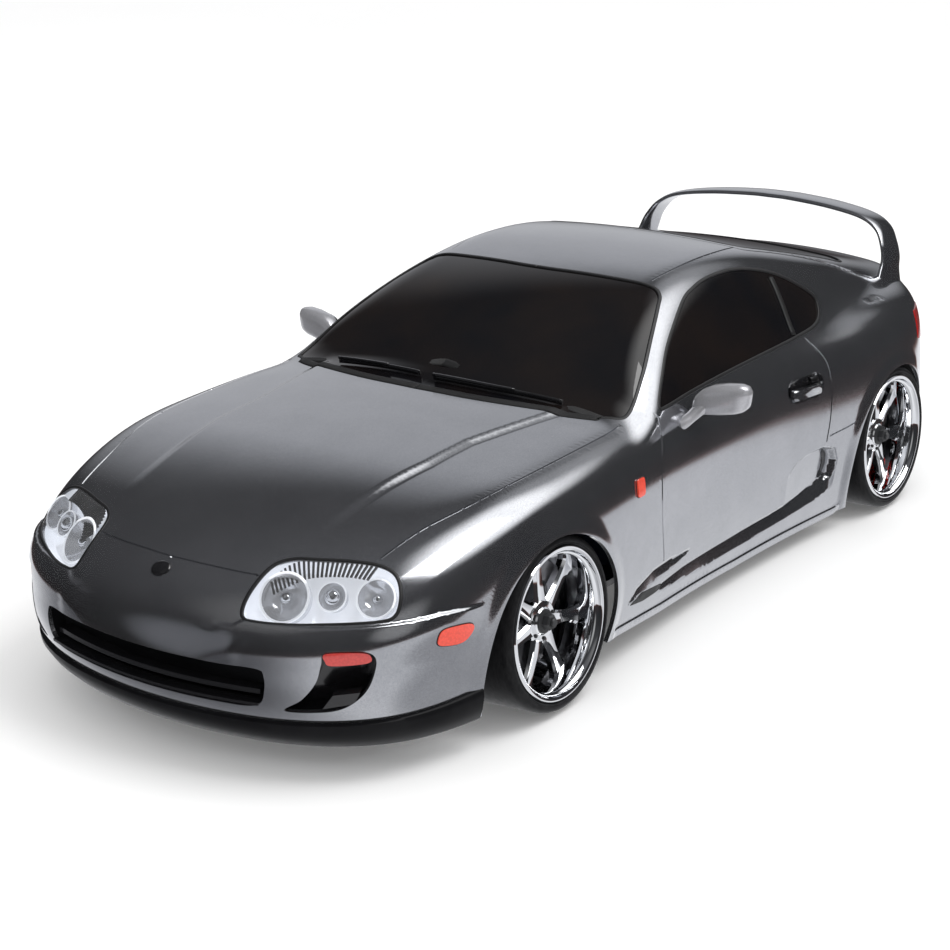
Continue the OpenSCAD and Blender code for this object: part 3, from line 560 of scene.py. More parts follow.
def loft(sections, closed=True, caps=True):
    """Skin over rings of equal length."""
    n, m = len(sections), len(sections[0])
    p = np.vstack(sections)
    faces = []
    for i in range(n - 1):
        for k in range(m if closed else m - 1):
            l = (k + 1) % m
            faces.append((i * m + k, i * m + l, (i + 1) * m + l, (i + 1) * m + k))
    if caps:
        faces += [tuple(range(m))[::-1], tuple((n - 1) * m + k for k in range(m))]
    return p, faces

# ---------------------------------------------------------------- materials


class Nodes:
    """Short form for building a material's node tree."""

    def __init__(self, name):
        self.material = bpy.data.materials.new(name)
        self.material.use_nodes = True
        self.tree = self.material.node_tree
        self.bsdf = self.tree.nodes["Principled BSDF"]
        self.place = self.add("ShaderNodeTexCoord").outputs["Object"]

    def add(self, kind, **values):
        node = self.tree.nodes.new(kind)
        for key, value in values.items():
            if hasattr(node, key):
                setattr(node, key, value)
            else:
                node.inputs[key.replace("_", " ")].default_value = value
        return node

    def link(self, a, b):
        self.tree.links.new(a, b)

    def noise(self, scale, detail=2.0, rough=0.5, stretch=(1, 1, 1)):
        node = self.add("ShaderNodeTexNoise")
        node.inputs["Scale"].default_value = scale
        node.inputs["Detail"].default_value = detail
        node.inputs["Roughness"].default_value = rough
        scaled = self.add("ShaderNodeMapping")
        scaled.inputs["Scale"].default_value = stretch
        self.link(self.place, scaled.inputs["Vector"])
        self.link(scaled.outputs["Vector"], node.inputs["Vector"])
        return node.outputs["Fac"]

    def cells(self, scale, feature="F1", output="Distance"):
        node = self.add("ShaderNodeTexVoronoi")
        node.feature = feature
        node.inputs["Scale"].default_value = scale
        self.link(self.place, node.inputs["Vector"])
        return node.outputs[output]

    def ramp(self, value, stops):
        node = self.add("ShaderNodeValToRGB")
        while len(node.color_ramp.elements) < len(stops):
            node.color_ramp.elements.new(0.5)
        for e, (at, c) in zip(node.color_ramp.elements, stops):
            e.position = at
            e.color = (*c, 1) if hasattr(c, "__len__") else (c, c, c, 1)
        self.link(value, node.inputs["Fac"])
        return node.outputs["Color"]

    def span(self, value, low, high):
        node = self.add("ShaderNodeMapRange")
        node.inputs["To Min"].default_value = low
        node.inputs["To Max"].default_value = high
        self.link(value, node.inputs["Value"])
        return node.outputs["Result"]

    def bump(self, value, strength, distance, under=None, socket="Normal"):
        node = self.add("ShaderNodeBump")
        node.inputs["Strength"].default_value = strength
        node.inputs["Distance"].default_value = distance
        self.link(value, node.inputs["Height"])
        if under is not None:
            self.link(under, node.inputs["Normal"])
        if socket:
            self.link(node.outputs["Normal"], self.bsdf.inputs[socket])
        return node.outputs["Normal"]

    def set(self, **values):
        for key, value in values.items():
            self.bsdf.inputs[key.replace("_", " ")].default_value = value
        return self


def grey(v, tint=(1, 1, 1)):
    return tuple(v * t for t in tint)


def paint(name, dark, light, rough=0.2):
    """Metallic lacquer: flakes under a clear coat with slight orange peel."""
    m = Nodes(name)
    m.set(Metallic=0.96, Coat_Weight=1.0, Coat_Roughness=0.015, Coat_IOR=1.5)
    flake = m.cells(5200, output="Color")
    cloud = m.noise(60, 3)
    mixed = m.add("ShaderNodeMix", data_type="RGBA", blend_type="MIX")
    mixed.inputs["Factor"].default_value = 0.3
    m.link(m.ramp(cloud, [(0.3, dark), (0.7, light)]), mixed.inputs["A"])
    m.link(m.ramp(flake, [(0.1, grey(dark[0] * 0.7)), (0.9, grey(light[0] * 1.5))]), mixed.inputs["B"])
    m.link(mixed.outputs["Result"], m.bsdf.inputs["Base Color"])
    m.link(m.span(m.noise(900, 2), rough - 0.03, rough + 0.04), m.bsdf.inputs["Roughness"])
    m.bump(flake, 0.015, 0.0001)
    m.bump(m.noise(420, 2), 0.05, 0.0002, socket="Coat Normal")
    return m.material


def plastic(name, colour, rough=0.35, grain=1500, depth=0.12, spread=0.15, **values):
    """Moulded plastic or rubber with a fine grain and uneven sheen."""
    m = Nodes(name)
    m.set(**values)
    dark = tuple(c * (1 - spread) for c in colour)
    light = tuple(min(c * (1 + spread) + 0.002, 1) for c in colour)
    m.link(m.ramp(m.noise(90, 5, 0.6), [(0.3, dark), (0.7, light)]), m.bsdf.inputs["Base Color"])
    m.link(m.span(m.noise(260, 4, 0.6), rough * 0.8, min(rough * 1.25, 1)), m.bsdf.inputs["Roughness"])
    m.bump(m.noise(grain, 3), depth, 0.0002)
    return m.material


def metal(name, colour, rough=0.25, stretch=(1, 1, 1), grain=700, depth=0.05, **values):
    m = Nodes(name)
    m.set(Metallic=1.0, **values)
    line = m.noise(grain, 4, 0.6, stretch)
    dark = tuple(c * 0.86 for c in colour)
    m.link(m.ramp(line, [(0.3, dark), (0.7, colour)]), m.bsdf.inputs["Base Color"])
    m.link(m.span(m.noise(160, 4), rough * 0.7, rough * 1.4), m.bsdf.inputs["Roughness"])
    m.bump(line, depth, 0.0001)
    return m.material


def chrome(name, colour=(0.83, 0.84, 0.86), rough=0.03):
    m = Nodes(name)
    m.set(Metallic=1.0)
    m.link(m.ramp(m.noise(70, 3), [(0.3, tuple(c * 0.95 for c in colour)), (0.7, colour)]),
        m.bsdf.inputs["Base Color"])
    m.link(m.span(m.noise(400, 3), rough * 0.5, rough * 1.8), m.bsdf.inputs["Roughness"])
    m.bump(m.noise(180, 2), 0.03, 0.0002)
    return m.material


def clear_lens(name, tint=(0.95, 0.96, 0.97)):
    """Thin clear moulding: mostly see-through, glossy by angle, a little haze."""
    m = Nodes(name)
    tree = m.tree
    see = m.add("ShaderNodeBsdfTransparent")
    see.inputs["Color"].default_value = (*tint, 1)
    gloss = m.add("ShaderNodeBsdfGlossy")
    gloss.inputs["Roughness"].default_value = 0.02
    haze = m.add("ShaderNodeBsdfDiffuse")
    haze.inputs["Color"].default_value = (0.9, 0.9, 0.92, 1)
    fresnel = m.add("ShaderNodeFresnel")
    fresnel.inputs["IOR"].default_value = 1.45
    first = m.add("ShaderNodeMixShader")
    m.link(m.span(m.noise(120, 3), 0.02, 0.07), first.inputs["Fac"])
    m.link(see.outputs[0], first.inputs[1])
    m.link(haze.outputs[0], first.inputs[2])
    both = m.add("ShaderNodeMixShader")
    m.link(fresnel.outputs[0], both.inputs["Fac"])
    m.link(first.outputs[0], both.inputs[1])
    m.link(gloss.outputs[0], both.inputs[2])
    out = [n for n in tree.nodes if n.type == "OUTPUT_MATERIAL"][0]
    m.link(both.outputs[0], out.inputs["Surface"])
    tree.nodes.remove(m.bsdf)
    return m.material


def coloured_lens(name, colour, glow=0.35):
    """Tinted lens with moulded optics behind a glossy face; the glow is painted light, an emission on a lens
    that is not lit.
    """
    m = Nodes(name)
    m.set(Coat_Weight=1.0, Coat_Roughness=0.03, Roughness=0.25, IOR=1.5)
    ribs = m.cells(1400, output="Distance")
    m.link(m.ramp(ribs, [(0.1, tuple(c * 1.05 for c in colour)), (0.8, tuple(c * 0.85 for c in colour))]),
        m.bsdf.inputs["Base Color"])
    # painted light: the lens glows though no lamp lights it
    m.set(Emission_Strength=glow)
    m.link(m.ramp(ribs, [(0.1, colour), (0.8, tuple(c * 0.8 for c in colour))]),
        m.bsdf.inputs["Emission Color"])
    m.bump(ribs, 0.15, 0.0003)
    return m.material


def tinted_glass(name):
    m = Nodes(name)
    m.set(Roughness=0.02, IOR=1.5, Specular_IOR_Level=0.5)
    m.link(m.ramp(m.noise(25, 3), [(0.35, (0.004, 0.004, 0.005)), (0.7, (0.010, 0.007, 0.006))]),
        m.bsdf.inputs["Base Color"])
    m.bump(m.noise(45, 2), 0.02, 0.0006)
    return m.material


def woven(name, colour, scale=420):
    """Woven carbon sheet under a satin resin."""
    m = Nodes(name)
    m.set(Coat_Weight=0.4, Coat_Roughness=0.2)
    checker = m.add("ShaderNodeTexChecker")
    checker.inputs["Scale"].default_value = scale
    m.link(m.place, checker.inputs["Vector"])
    light = tuple(c * 2.2 for c in colour)
    m.link(m.ramp(checker.outputs["Fac"], [(0.2, colour), (0.8, light)]), m.bsdf.inputs["Base Color"])
    m.link(m.span(checker.outputs["Fac"], 0.3, 0.5), m.bsdf.inputs["Roughness"])
    m.bump(checker.outputs["Fac"], 0.2, 0.0002)
    return m.material


def rubber(name):
    """Smooth hard tyre: moulding haze, faint scuffs round the tread."""
    m = Nodes(name)
    m.set(Specular_IOR_Level=0.12)
    scuff = m.noise(300, 6, 0.7, (4, 1, 1))
    m.link(m.ramp(scuff, [(0.35, (0.006, 0.006, 0.007)), (0.75, (0.018, 0.018, 0.019))]),
        m.bsdf.inputs["Base Color"])
    m.link(m.span(m.noise(500, 4), 0.3, 0.52), m.bsdf.inputs["Roughness"])
    m.bump(m.noise(2600, 3), 0.12, 0.0001)
    return m.material


PAINT = paint("gunmetal", (0.35, 0.362, 0.395), (0.41, 0.42, 0.455), 0.11)
GLASS = tinted_glass("tinted_glass")
TRIM = plastic("gloss_black_trim", (0.006, 0.006, 0.007), 0.16, 500, 0.03, Coat_Weight=0.5,
    Coat_Roughness=0.05)
SEAL = plastic("black_seal", (0.008, 0.008, 0.009), 0.45)
INSIDE = plastic("shell_inside", (0.012, 0.012, 0.013), 0.6, 900, 0.1)
NYLON = plastic("moulded_nylon", (0.025, 0.026, 0.028), 0.42, 2200, 0.15)
CASE = plastic("hard_case", (0.02, 0.03, 0.05), 0.3, 1800, 0.1)
FOAM = plastic("foam", (0.02, 0.02, 0.021), 0.85, 900, 0.8, 0.3)
WHITE_NYLON = plastic("white_nylon", (0.7, 0.69, 0.66), 0.4, 2200, 0.1, 0.05)
CARBON = woven("woven_plate", (0.02, 0.02, 0.022))
ALLOY = metal("anodised_alloy", (0.62, 0.64, 0.68), 0.28, (1, 6, 1))
DARK_ALLOY = metal("dark_alloy", (0.08, 0.08, 0.085), 0.35, (1, 6, 1))
STEEL = metal("steel", (0.5, 0.5, 0.52), 0.22, (1, 8, 1))
BRASS = metal("brass", (0.7, 0.52, 0.22), 0.25)
SPRING = metal("spring_steel", (0.75, 0.6, 0.25), 0.2)
CHROME = chrome("chrome_plate")
SILVER = chrome("lamp_silver", (0.88, 0.89, 0.91), 0.09)
LENS = clear_lens("clear_lens")
# the last number of each lens is its painted glow, an emission on a lens that is not lit
AMBER = coloured_lens("amber_lens", (0.72, 0.065, 0.035), 0.18)
DEEP_AMBER = coloured_lens("deep_amber_lens", (0.50, 0.035, 0.028), 0.1)
RED = coloured_lens("red_lens", (0.45, 0.012, 0.01), 0.15)
RUBBER = rubber("tyre_rubber")

# ---------------------------------------------------------------- painted shell


def around(turns, z, tail=False):
    """Points on the bumper at height z, at angles from straight ahead (or astern) in degrees."""
    a = np.radians(np.array(turns, float))
    s = 1 if tail else -1
    yc = ARCH_R[0] if tail else ARCH_F[0]
    z = np.broadcast_to(z, a.shape)
    o = np.c_[np.zeros(len(a)), np.full(len(a), yc), z]
    d = np.c_[np.sin(a), s * np.cos(a), np.zeros(len(a))]
    return solve(o, d, 190)


def arch_line(arch, front_z, rear_z, gap=1.2):
    yc, zc, r = arch
    a0 = math.pi + math.asin((zc - front_z) / r)
    a1 = -math.asin((zc - rear_z) / r)
    turns = np.linspace(a0, a1, int(r * (a0 - a1) / gap))
    return on_side(np.c_[yc + r * np.cos(turns), zc + r * np.sin(turns)])


def sill_z(y):
    return np.interp(y, *SILL)


FOOT = {}
for key, arch in (("f", ARCH_F), ("r", ARCH_R)):
    for side, sign in (("front", -1), ("rear", 1)):
        z = float(sill_z(arch[0] + sign * 35))
        FOOT[key, side] = (arch[0] + sign * math.sqrt(arch[2] ** 2 - (arch[1] - z) ** 2), z)


def side_line(y0, y1, gap=1.6):
    y = np.linspace(y0, y1, int(abs(y1 - y0) / gap))
    return on_side(np.c_[y, sill_z(y)])


def outer_loop(gap=1.6):
    """Edge of the left half of the shell in the unrolled plane."""
    nose = around(np.linspace(0, 65, 90), np.full(90, FOOT["f", "front"][1]))
    nose = nose[nose[:, 1] < FOOT["f", "front"][0] - 1]
    tail = around(np.linspace(60, 0, 90), np.full(90, FOOT["r", "rear"][1]), True)
    tail = tail[tail[:, 1] > FOOT["r", "rear"][0] + 1]
    parts = [
        nose,
        arch_line(ARCH_F, FOOT["f", "front"][1], FOOT["f", "rear"][1]),
        side_line(FOOT["f", "rear"][0], FOOT["r", "front"][0])[1:-1],
        arch_line(ARCH_R, FOOT["r", "front"][1], FOOT["r", "rear"][1]),
        tail,
    ]
    loop = to_plane(np.vstack(parts))
    loop[0, 1] = loop[-1, 1] = 0
    spine = np.arange(loop[-1, 0] - gap, loop[0, 0] + gap / 2, -gap)
    return np.vstack([loop, np.c_[spine, np.zeros(len(spine))]])


LAMP = [(37, -217.5, 54.9), (35.3, -212, 60), (36.4, -202.5, 66.4), (41, -197, 68.5), (49.4, -193.3, 69.0),
    (58.9, -189, 69.1), (66.5, -186, 68.6), (72, -185, 67), (75.6, -186.3, 64), (77.9, -189.2, 59.5),
    (78.2, -192.3, 56), (75.5, -196, 54.8), (66.2, -204.5, 54.5), (53.4, -212.2, 54), (42.6, -216.8, 53.9)]
DUCT = [(64.6, -210, 46.8), (73, -203.2, 46.8), (76.4, -200.5, 44.5), (76.3, -201, 39), (74.3, -203.2, 33),
    (70, -207, 28.3), (64, -211, 26.4), (52.8, -217, 26.4), (58.6, -215.3, 31), (62.6, -213, 37),
    (63.8, -211.5, 43)]
INDICATOR = [(64.6, -210.2, 46.2), (73.5, -203.2, 46.2), (75.6, -201.4, 44.6), (74.8, -202.6, 42.8),
    (66.4, -209.6, 42.4), (64.6, -210.4, 43.6)]
MARKER = [(85.9, -181.8, 46.6), (86.5, -179.2, 49.4), (89.1, -169.4, 48.6), (89.6, -167.4, 46.2),
    (88.6, -172, 43), (86.3, -180.6, 44.2)]
WINDSCREEN = [(0, -76), (23, -74.6), (44.5, -70), (62, -63.8), (71.5, -58.8), (75.6, -53.5), (71.5, -37),
    (64.6, -19.5), (58, -4), (54.6, 2.4), (48.5, 4.8), (30, 3.0), (9, 1.0), (0, 0.7)]
REAR_WINDOW = [(0, 76), (28, 76.6), (42, 78), (47.5, 84), (51, 108), (55, 138), (56.5, 150), (52, 156),
    (38, 158.5), (0, 160)]
SIDE_GLASS = [(-39, 86.6), (-27, 95.5), (-14, 103.2), (8.1, 112.7), (20.4, 115.8), (34, 117.3), (51, 117.1),
    (65.5, 114.8), (79.3, 110.6), (91, 104.6), (98.6, 99.4), (99.6, 96), (96, 92.2), (87, 89.6), (67.7, 88.6),
    (37.7, 87.8), (11.1, 87), (-17, 86.2), (-34, 85.6)]
INTAKE = [(0, 26.6), (30, 26.6), (42, 26.9), (46.4, 29), (48, 34), (47.8, 38), (45.4, 40.3), (30, 40.4), (0,
    40.4)]
TAIL_LAMP = rounded([(33.5, 61.5), (64, 61.5), (69, 68), (66, 76), (35.5, 77)], [4, 5, 5, 4, 4])
REPEATER = rounded([(-70.6, 62.6), (-65.4, 62.6), (-65, 69), (-70.2, 69)], 1.4, 0.6)


def loop3(points, gap=1.2):
    return to_plane(smooth(points, gap, True))


HOLES = {
    "windscreen": half_loop(WINDSCREEN, 1.3, on_top),
    "rear_window": half_loop(REAR_WINDOW, 1.3, on_top),
    "side_glass": to_plane(on_side(smooth(SIDE_GLASS, 1.2, True))),
    "lamp": loop3(LAMP, 1.0),
    "duct": loop3(DUCT, 0.9),
    "intake": half_loop(INTAKE, 1.1, on_front),
    "tail_lamp": to_plane(on_rear(TAIL_LAMP)),
}
# half_loop ends on the middle plane, so the straight closing edge runs along it

BONNET_FRONT = smooth([(0.5, -210, 64.6), (19, -208.8, 64.6), (30, -207.2, 64.4), (33.6, -206.6, 64.5)], 1.2)
BONNET_SIDE = smooth([(66, -184.4, 69.6), (69.3, -167.2, 74.9), (74.5, -147.3, 78.9), (77.3, -123, 81.5),
    (77.9, -94, 82.8), (77.8, -70, 83.7), (77.5, -60, 84.6)], 1.2)
DOOR_FRONT = on_side(smooth([(-42.5, 84), (-46.1, 77.6), (-50.2, 69.4), (-51.7, 57.3), (-51.3, 45), (-49,
    33)], 1.1))
DOOR_REAR = on_side(smooth([(75, 86.5), (77.5, 82), (80, 76), (80.6, 66), (79.4, 55), (77, 46)], 1.1))
QUARTER = on_side(smooth([(79.5, 46.9), (90, 47.3), (98, 47.8)], 1.1))
ROOF_RAIL = on_top(smooth([(47.5, 8), (48.6, 22), (48.6, 40), (48, 58), (46.5, 73)], 1.2))
HATCH = on_top(smooth([(1.5, 70), (30, 70.6), (45, 73), (50.5, 78), (54, 100), (58.5, 128), (62, 150), (64,
    166)], 1.2))
DECK = on_top(smooth([(64, 170), (61, 190), (55.5, 203), (40, 209.5), (20, 212.5), (1.5, 213.5)], 1.2))
REAR_BUMPER = on_rear(smooth([(1.5, 57.5), (30, 57.5), (52, 57.5), (64, 57)], 1.2))
SEAMS = [BONNET_FRONT, BONNET_SIDE, DOOR_FRONT, DOOR_REAR, QUARTER, ROOF_RAIL, HATCH, DECK, REAR_BUMPER]


def side_patch(y0, y1, z0, z1):
    """Box of the unrolled plane that covers a patch of the door side."""
    corner = to_plane(on_side([(y0, z0), (y1, z1)]))
    return (y0, y1, corner[1, 1], corner[0, 1])


GAP = 1.75
FINER = [(side_patch(42, 92, 14, 47), 0.75), (side_patch(46, 78, 63, 78), 0.9),
    (side_patch(-80, 44, 14, 34), 0.85)]


def side_crease(ys, zs):
    return to_plane(on_side(resample(np.c_[ys, zs], 1.2)))


def crease_lines():
    """Lines of the unrolled plane along the sharp edges of the moulded details."""
    lines = []
    y = np.linspace(-50, 74, 100)
    up = np.interp(y, *BAND_UP)
    lines += [side_crease(y, up + 0.05), side_crease(y, up - 0.6), side_crease(y, np.interp(y, *BAND_LOW))]
    up = ([-73.5, -69.2, -56.9, -43.3, -28.5], [23.8, 27.9, 31, 31.1, 29.9])
    lines += [side_crease(up[0], np.array(up[1]) + d) for d in (0.05, -0.5)]
    y = np.linspace(-82, 94, 150)
    foot = np.interp(y, *SILL) + 3.4
    lines += [side_crease(y, foot + d) for d in (0.3, 0.0, -0.3)]
    y = np.linspace(50, 79, 50)
    lines += [side_crease(y, np.interp(y, *SCOOP_TOP) - d) for d in (0.0, 1.6)]
    z = np.linspace(28, 38.5, 20)
    lines += [side_crease(np.interp(z, SCOOP_REAR[1], SCOOP_REAR[0]) - d, z) for d in (0.0, 2.5)]
    y = np.linspace(-69, -32, 60)
    lines.append(side_crease(y, np.interp(y, [-74, -63.6, -50.8, -39.8, -27.5],
        [23.2, 24.2, 26.1, 27.1, 29.6])))
    turn = np.radians(np.linspace(20, 66, 60))
    for d in (0.75, -0.1, -0.95):
        z = np.interp(np.degrees(turn), [10, 20, 22, 37.6, 49.5, 57, 66, 75], [50, 52, 54, 53.6, 54, 54.3,
            53, 52]) + d
        o = np.c_[np.zeros(60), np.full(60, ARCH_F[0]), z]
        lines.append(to_plane(solve(o, np.c_[np.sin(turn), -np.cos(turn), np.zeros(60)], 160)))
    y = np.linspace(-180, -66, 70)
    edge = np.interp(y, [-178, -153.5, -133.5, -110.5, -72.5, -60], [43, 45, 47.5, 48, 55.2, 57])
    lines += [to_plane(on_top(np.c_[edge + d, y])) for d in (2.2, 0.8, -0.8, -3.2)]
    return lines


OUTER = outer_loop(GAP)


def build_shell():
    shell = shell_sheet("painted_shell", OUTER, list(HOLES.values()), PAINT, GAP, SEAMS, FINER, rim=1.5,
        creases=crease_lines(), slot="shell_paint")
    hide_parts("body_shell")
    shell_sheet("shell_lining", outer_loop(5), list(HOLES.values()), INSIDE, 5.0, level=-1.6,
        slot="shell_paint")


build_shell()

# ---------------------------------------------------------------- small builders for the shell's parts


def pair(name, points, faces, material, **kw):
    """The part and its mirror image as one piece."""
    q, more = mirrored(np.array(points, float), faces, -1)
    return make(name, q, more, material, **kw)


def bead(name, uv, material, half, high, closed=True, **kw):
    """Rounded strip lying along a line of the shell."""
    section = [(-half, -0.7), (-half, high * 0.4), (-half * 0.5, high), (half * 0.5, high), (half,
        high * 0.4),
        (half, -0.7)]
    return sweep(name, surface(uv), surface_normal(uv), section, material, closed=closed, **kw)


def recess(loop, steps, facing=None):
    """Pocket behind a loop of the shell: (size, depth) for each ring, closed at the back."""
    face = surface(loop)
    centre = face.mean(0)
    facing = surface_normal(loop).mean(0) if facing is None else np.array(facing, float)
    facing /= np.linalg.norm(facing)
    rings = [centre + (face - centre) * size - facing * deep for size, deep in steps]
    p, faces = loft(rings, caps=False)
    m = len(face)
    faces.append(tuple((len(rings) - 1) * m + k for k in range(m)))
    return p, faces


def raised(loop, rise, thick, shrink=0.86):
    """Low rounded pad standing on the side of the car over a (y, z) loop."""
    loop = np.array(loop)
    small = loop.mean(0) + (loop - loop.mean(0)) * shrink
    out = np.array([1.0, 0, 0])
    rings = [on_side(loop) - out * thick, on_side(loop) + out * rise * 0.4, on_side(small) + out * rise]
    return loft(rings)


def ring_section(half_x, half_y, n=20, power=2.6):
    t = np.linspace(0, 2 * math.pi, n, endpoint=False)
    c, s = np.cos(t), np.sin(t)
    return np.c_[half_x * np.sign(c) * np.abs(c) ** (2 / power),
        half_y * np.sign(s) * np.abs(s) ** (2 / power)]


# ---------------------------------------------------------------- glass

PILLAR = to_plane(on_side(resample([(68.8, 89.6), (74.1, 110.3)], 1.2)))
WIPERS = [[(-45, -66.5), (-25, -68.2), (-4, -69.5)], [(3, -70.5), (28, -68.4), (54, -62.6)]]
COWL = [(0, -77.6), (23, -76.2), (44.5, -71.6), (61, -65.6), (70.5, -60.6)]


def build_glass():
    for key, gap in (("windscreen", 3.0), ("rear_window", 3.5), ("side_glass", 2.6)):
        pane = shell_sheet(key + "_glass", HOLES[key], [], GLASS, gap, level=-0.4, rim=0.8, slot="dark_glass")
        bead(key + "_seal", HOLES[key], SEAL, 0.7, 0.12, closed=key == "side_glass", slot="black_trim")
    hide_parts("windows")
    bead("pillar_seal", PILLAR, SEAL, 1.5, 0.15, closed=False, slot="black_trim")
    bead("cowl_strip", half_loop(COWL, 1.4, on_top), COWLING, 2.0, 0.35, closed=False, slot="black_trim")
    blade = [(-0.45, -0.9), (-0.25, 0.9), (0.25, 0.9), (0.45, -0.9)]
    for k, points in enumerate(WIPERS):
        uv = to_plane(on_top(smooth(points, 1.5)))
        n = surface_normal(uv)
        sweep(f"wiper_{k + 1}", surface(uv) + n * 1.1, n, blade, TRIM, closed=False, both=False,
            slot="black_trim")
        lift = surface(uv) + n * np.linspace(2.4, 1.9, len(uv))[:, None]
        sweep(f"wiper_arm_{k + 1}", lift[: len(uv) * 2 // 3], n[: len(uv) * 2 // 3], [(-0.7, -0.4),
            (-0.4, 0.4),
            (0.4, 0.4), (0.7, -0.4)], TRIM, closed=False, both=False, slot="black_trim")


# ---------------------------------------------------------------- lamps

# centre, radius and depth of the round reflectors behind each lamp lens
BOWLS = [((45.9, -208.3, 60.6), 7.6, 4.2), ((59.4, -201.2, 61.6), 4.4, 2.8), ((71.0, -193.8, 61.2), 5.9, 3.3)]
RIB_HEADS = [(40.2, -206.7, 63.3), (40.8, -203.5, 65.2), (42.5, -199.6, 67.0), (45.8, -196.3, 68.2),
    (53.0, -192.5, 68.7), (59.8, -190.0, 68.4), (66.3, -187.0, 68.0)]
RIB_FEET = [(42.9, -208.9, 61.3), (44.9, -206.0, 62.9), (47.5, -202.6, 64.4), (50.6, -199.6, 65.6),
    (56.3, -196.1, 66.2), (61.7, -193.3, 66.2), (66.5, -191.3, 65.7)]
RIBS = 24


def build_lamps():
    loop = HOLES["lamp"]
    lens = shell_sheet("lamp_lens", loop, [], LENS, 1.7, level=-0.15, rim=0.9, slot="clear_lens")
    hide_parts("headlight_lenses")
    bead("lamp_gasket", loop, SEAL, 0.55, 0.14, slot="black_trim")
    p, faces = recess(loop, [(0.985, 1.2), (0.97, 4.6), (0.88, 6.6), (0.5, 7.6)])
    bucket = pair("lamp_bucket", p, faces, LAMP_SHELL, slot="silvered", smooth_angle=40)
    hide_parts("headlight_buckets")
    facing = surface_normal(loop).mean(0)
    facing = facing / np.linalg.norm(facing) * 0.75 + np.array([0.05, -0.5, 0.0])
    bowls, rings, bulbs = [], [], []
    for centre, r, deep in BOWLS:
        place = np.array(centre) - facing * 2.0
        shape = [(0.05, -deep), (r * 0.4, -deep * 0.86), (r * 0.75, -deep * 0.5), (r * 0.95, -0.1), (r, 0.15),
            (r * 1.04, -0.1), (r * 1.04, -deep)]
        bowls.append(placed(lathe(shape, 40), place, facing))
        rings.append(placed(lathe([(r * 1.0, 0.0), (r * 1.03, 0.35), (r * 1.1, 0.35), (r * 1.13, 0.0)], 40),
            place,
            facing))
        b = r * 0.72 if r < 5 else r * 0.3
        ball = [(b * math.sin(a), b * math.cos(a) - deep * 0.5) for a in np.linspace(0.02, 1.9, 10)]
        bulbs.append(placed(lathe(ball, 24), place, facing))
    pair("lamp_bowls", *joined(bowls), REFLECTOR, slot="silvered", smooth_angle=50)
    pair("lamp_rings", *joined(rings), LAMP_SHELL, slot="silvered", smooth_angle=50)
    pair("lamp_bulbs", *joined(bulbs), SILVER, slot="silvered", smooth_angle=60)
    ends = [to_plane(smooth(line, 0.1)) for line in (RIB_HEADS, RIB_FEET)]
    ribs = []
    for k in range(RIBS):
        head, foot = [line[int(round(k / (RIBS - 1) * (len(line) - 1)))] for line in ends]
        uv = np.linspace(foot + (head - foot) * 1.25, foot, 5)
        ribs.append(swept(surface(uv, -0.75), surface_normal(uv), [(-0.36, -0.6), (-0.36, 0), (0.36, 0),
            (0.36, -0.6)], False))
    pair("lamp_ribs", *joined(ribs), SEAL, slot="black_trim", smooth_angle=30)


def build_markers():
    indicator = shell_sheet("indicator_lens", loop3(INDICATOR, 0.8), [], DEEP_AMBER, 1.5, level=-0.5, rim=1.5,
        slot="amber_lens")
    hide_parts("marker_lenses")
    shell_sheet("side_marker", loop3(MARKER, 0.7), [], AMBER, 1.5, level=0.45, rim=1.2, slot="amber_lens")
    bead("side_marker_seal", loop3(MARKER, 0.7), SEAL, 0.35, 0.12, slot="black_trim")
    shell_sheet("side_repeater", to_plane(on_side(REPEATER)), [], AMBER, 1.2, level=0.7, rim=1.4,
        slot="amber_lens")
    bead("side_repeater_seal", to_plane(on_side(REPEATER)), SEAL, 0.3, 0.12, slot="black_trim")


def build_tail():
    loop = HOLES["tail_lamp"]
    lens = shell_sheet("tail_lens", loop, [], RED, 2.2, level=0.15, rim=1.4, slot="red_lens")
    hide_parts("tail_lights")
    bead("tail_seal", loop, SEAL, 0.45, 0.2, slot="black_trim")
    rings = []
    for x, z, r in ((43.5, 69.2, 5.4), (58, 69.2, 5.0)):
        uv = to_plane(on_rear([(x, z)]))
        rings.append(placed(lathe([(r - 0.7, 0.0), (r - 0.5, 0.5), (r, 0.6), (r + 0.3, 0.0)], 36),
            surface(uv)[0],
            surface_normal(uv)[0]))
    wrap = rounded([(168.5, 67.5), (169.5, 79.5), (186, 78.5), (202, 75.5), (203, 63.5), (187, 65.5)], 2, 0.9)
    shell_sheet("tail_wrap", to_plane(on_side(wrap)), [], RED, 1.4, level=0.3, rim=0.6, slot="red_lens")
    pair("tail_rings", *joined(rings), TRIM, slot="black_trim", smooth_angle=50)


# ---------------------------------------------------------------- bumper

# (height, stand-off) of the black lip's outer face, from its foot to its upper edge
LIP = [(10.6, -0.6), (10.4, 0.8), (11.6, 2.0), (15.0, 2.5), (19.0, 2.3), (20.9, 1.5), (21.5, 0.5), (21.5,
    -0.8)]
LIP_TURN = 65.2


def build_lip():
    sections = []
    for a in np.radians(np.linspace(-LIP_TURN, LIP_TURN, 90)):
        d = np.array([math.sin(a), -math.cos(a), 0.0])
        rise = 1.0 + 0.16 * (a / math.radians(LIP_TURN)) ** 4
        z = np.array([10.6 + (h - 10.6) * rise for h, _ in LIP])
        o = np.c_[np.zeros(len(z)), np.full(len(z), -120.0), z]
        sections.append(solve(o, np.tile(d, (len(z), 1)), 160) + d * np.array([s for _, s in LIP])[:, None])
    p, faces = loft(sections)
    lip = make("bumper_lip", p, [f[::-1] for f in faces], LIP_BLACK, slot="black_trim", smooth_angle=50)
    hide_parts("front_lip")


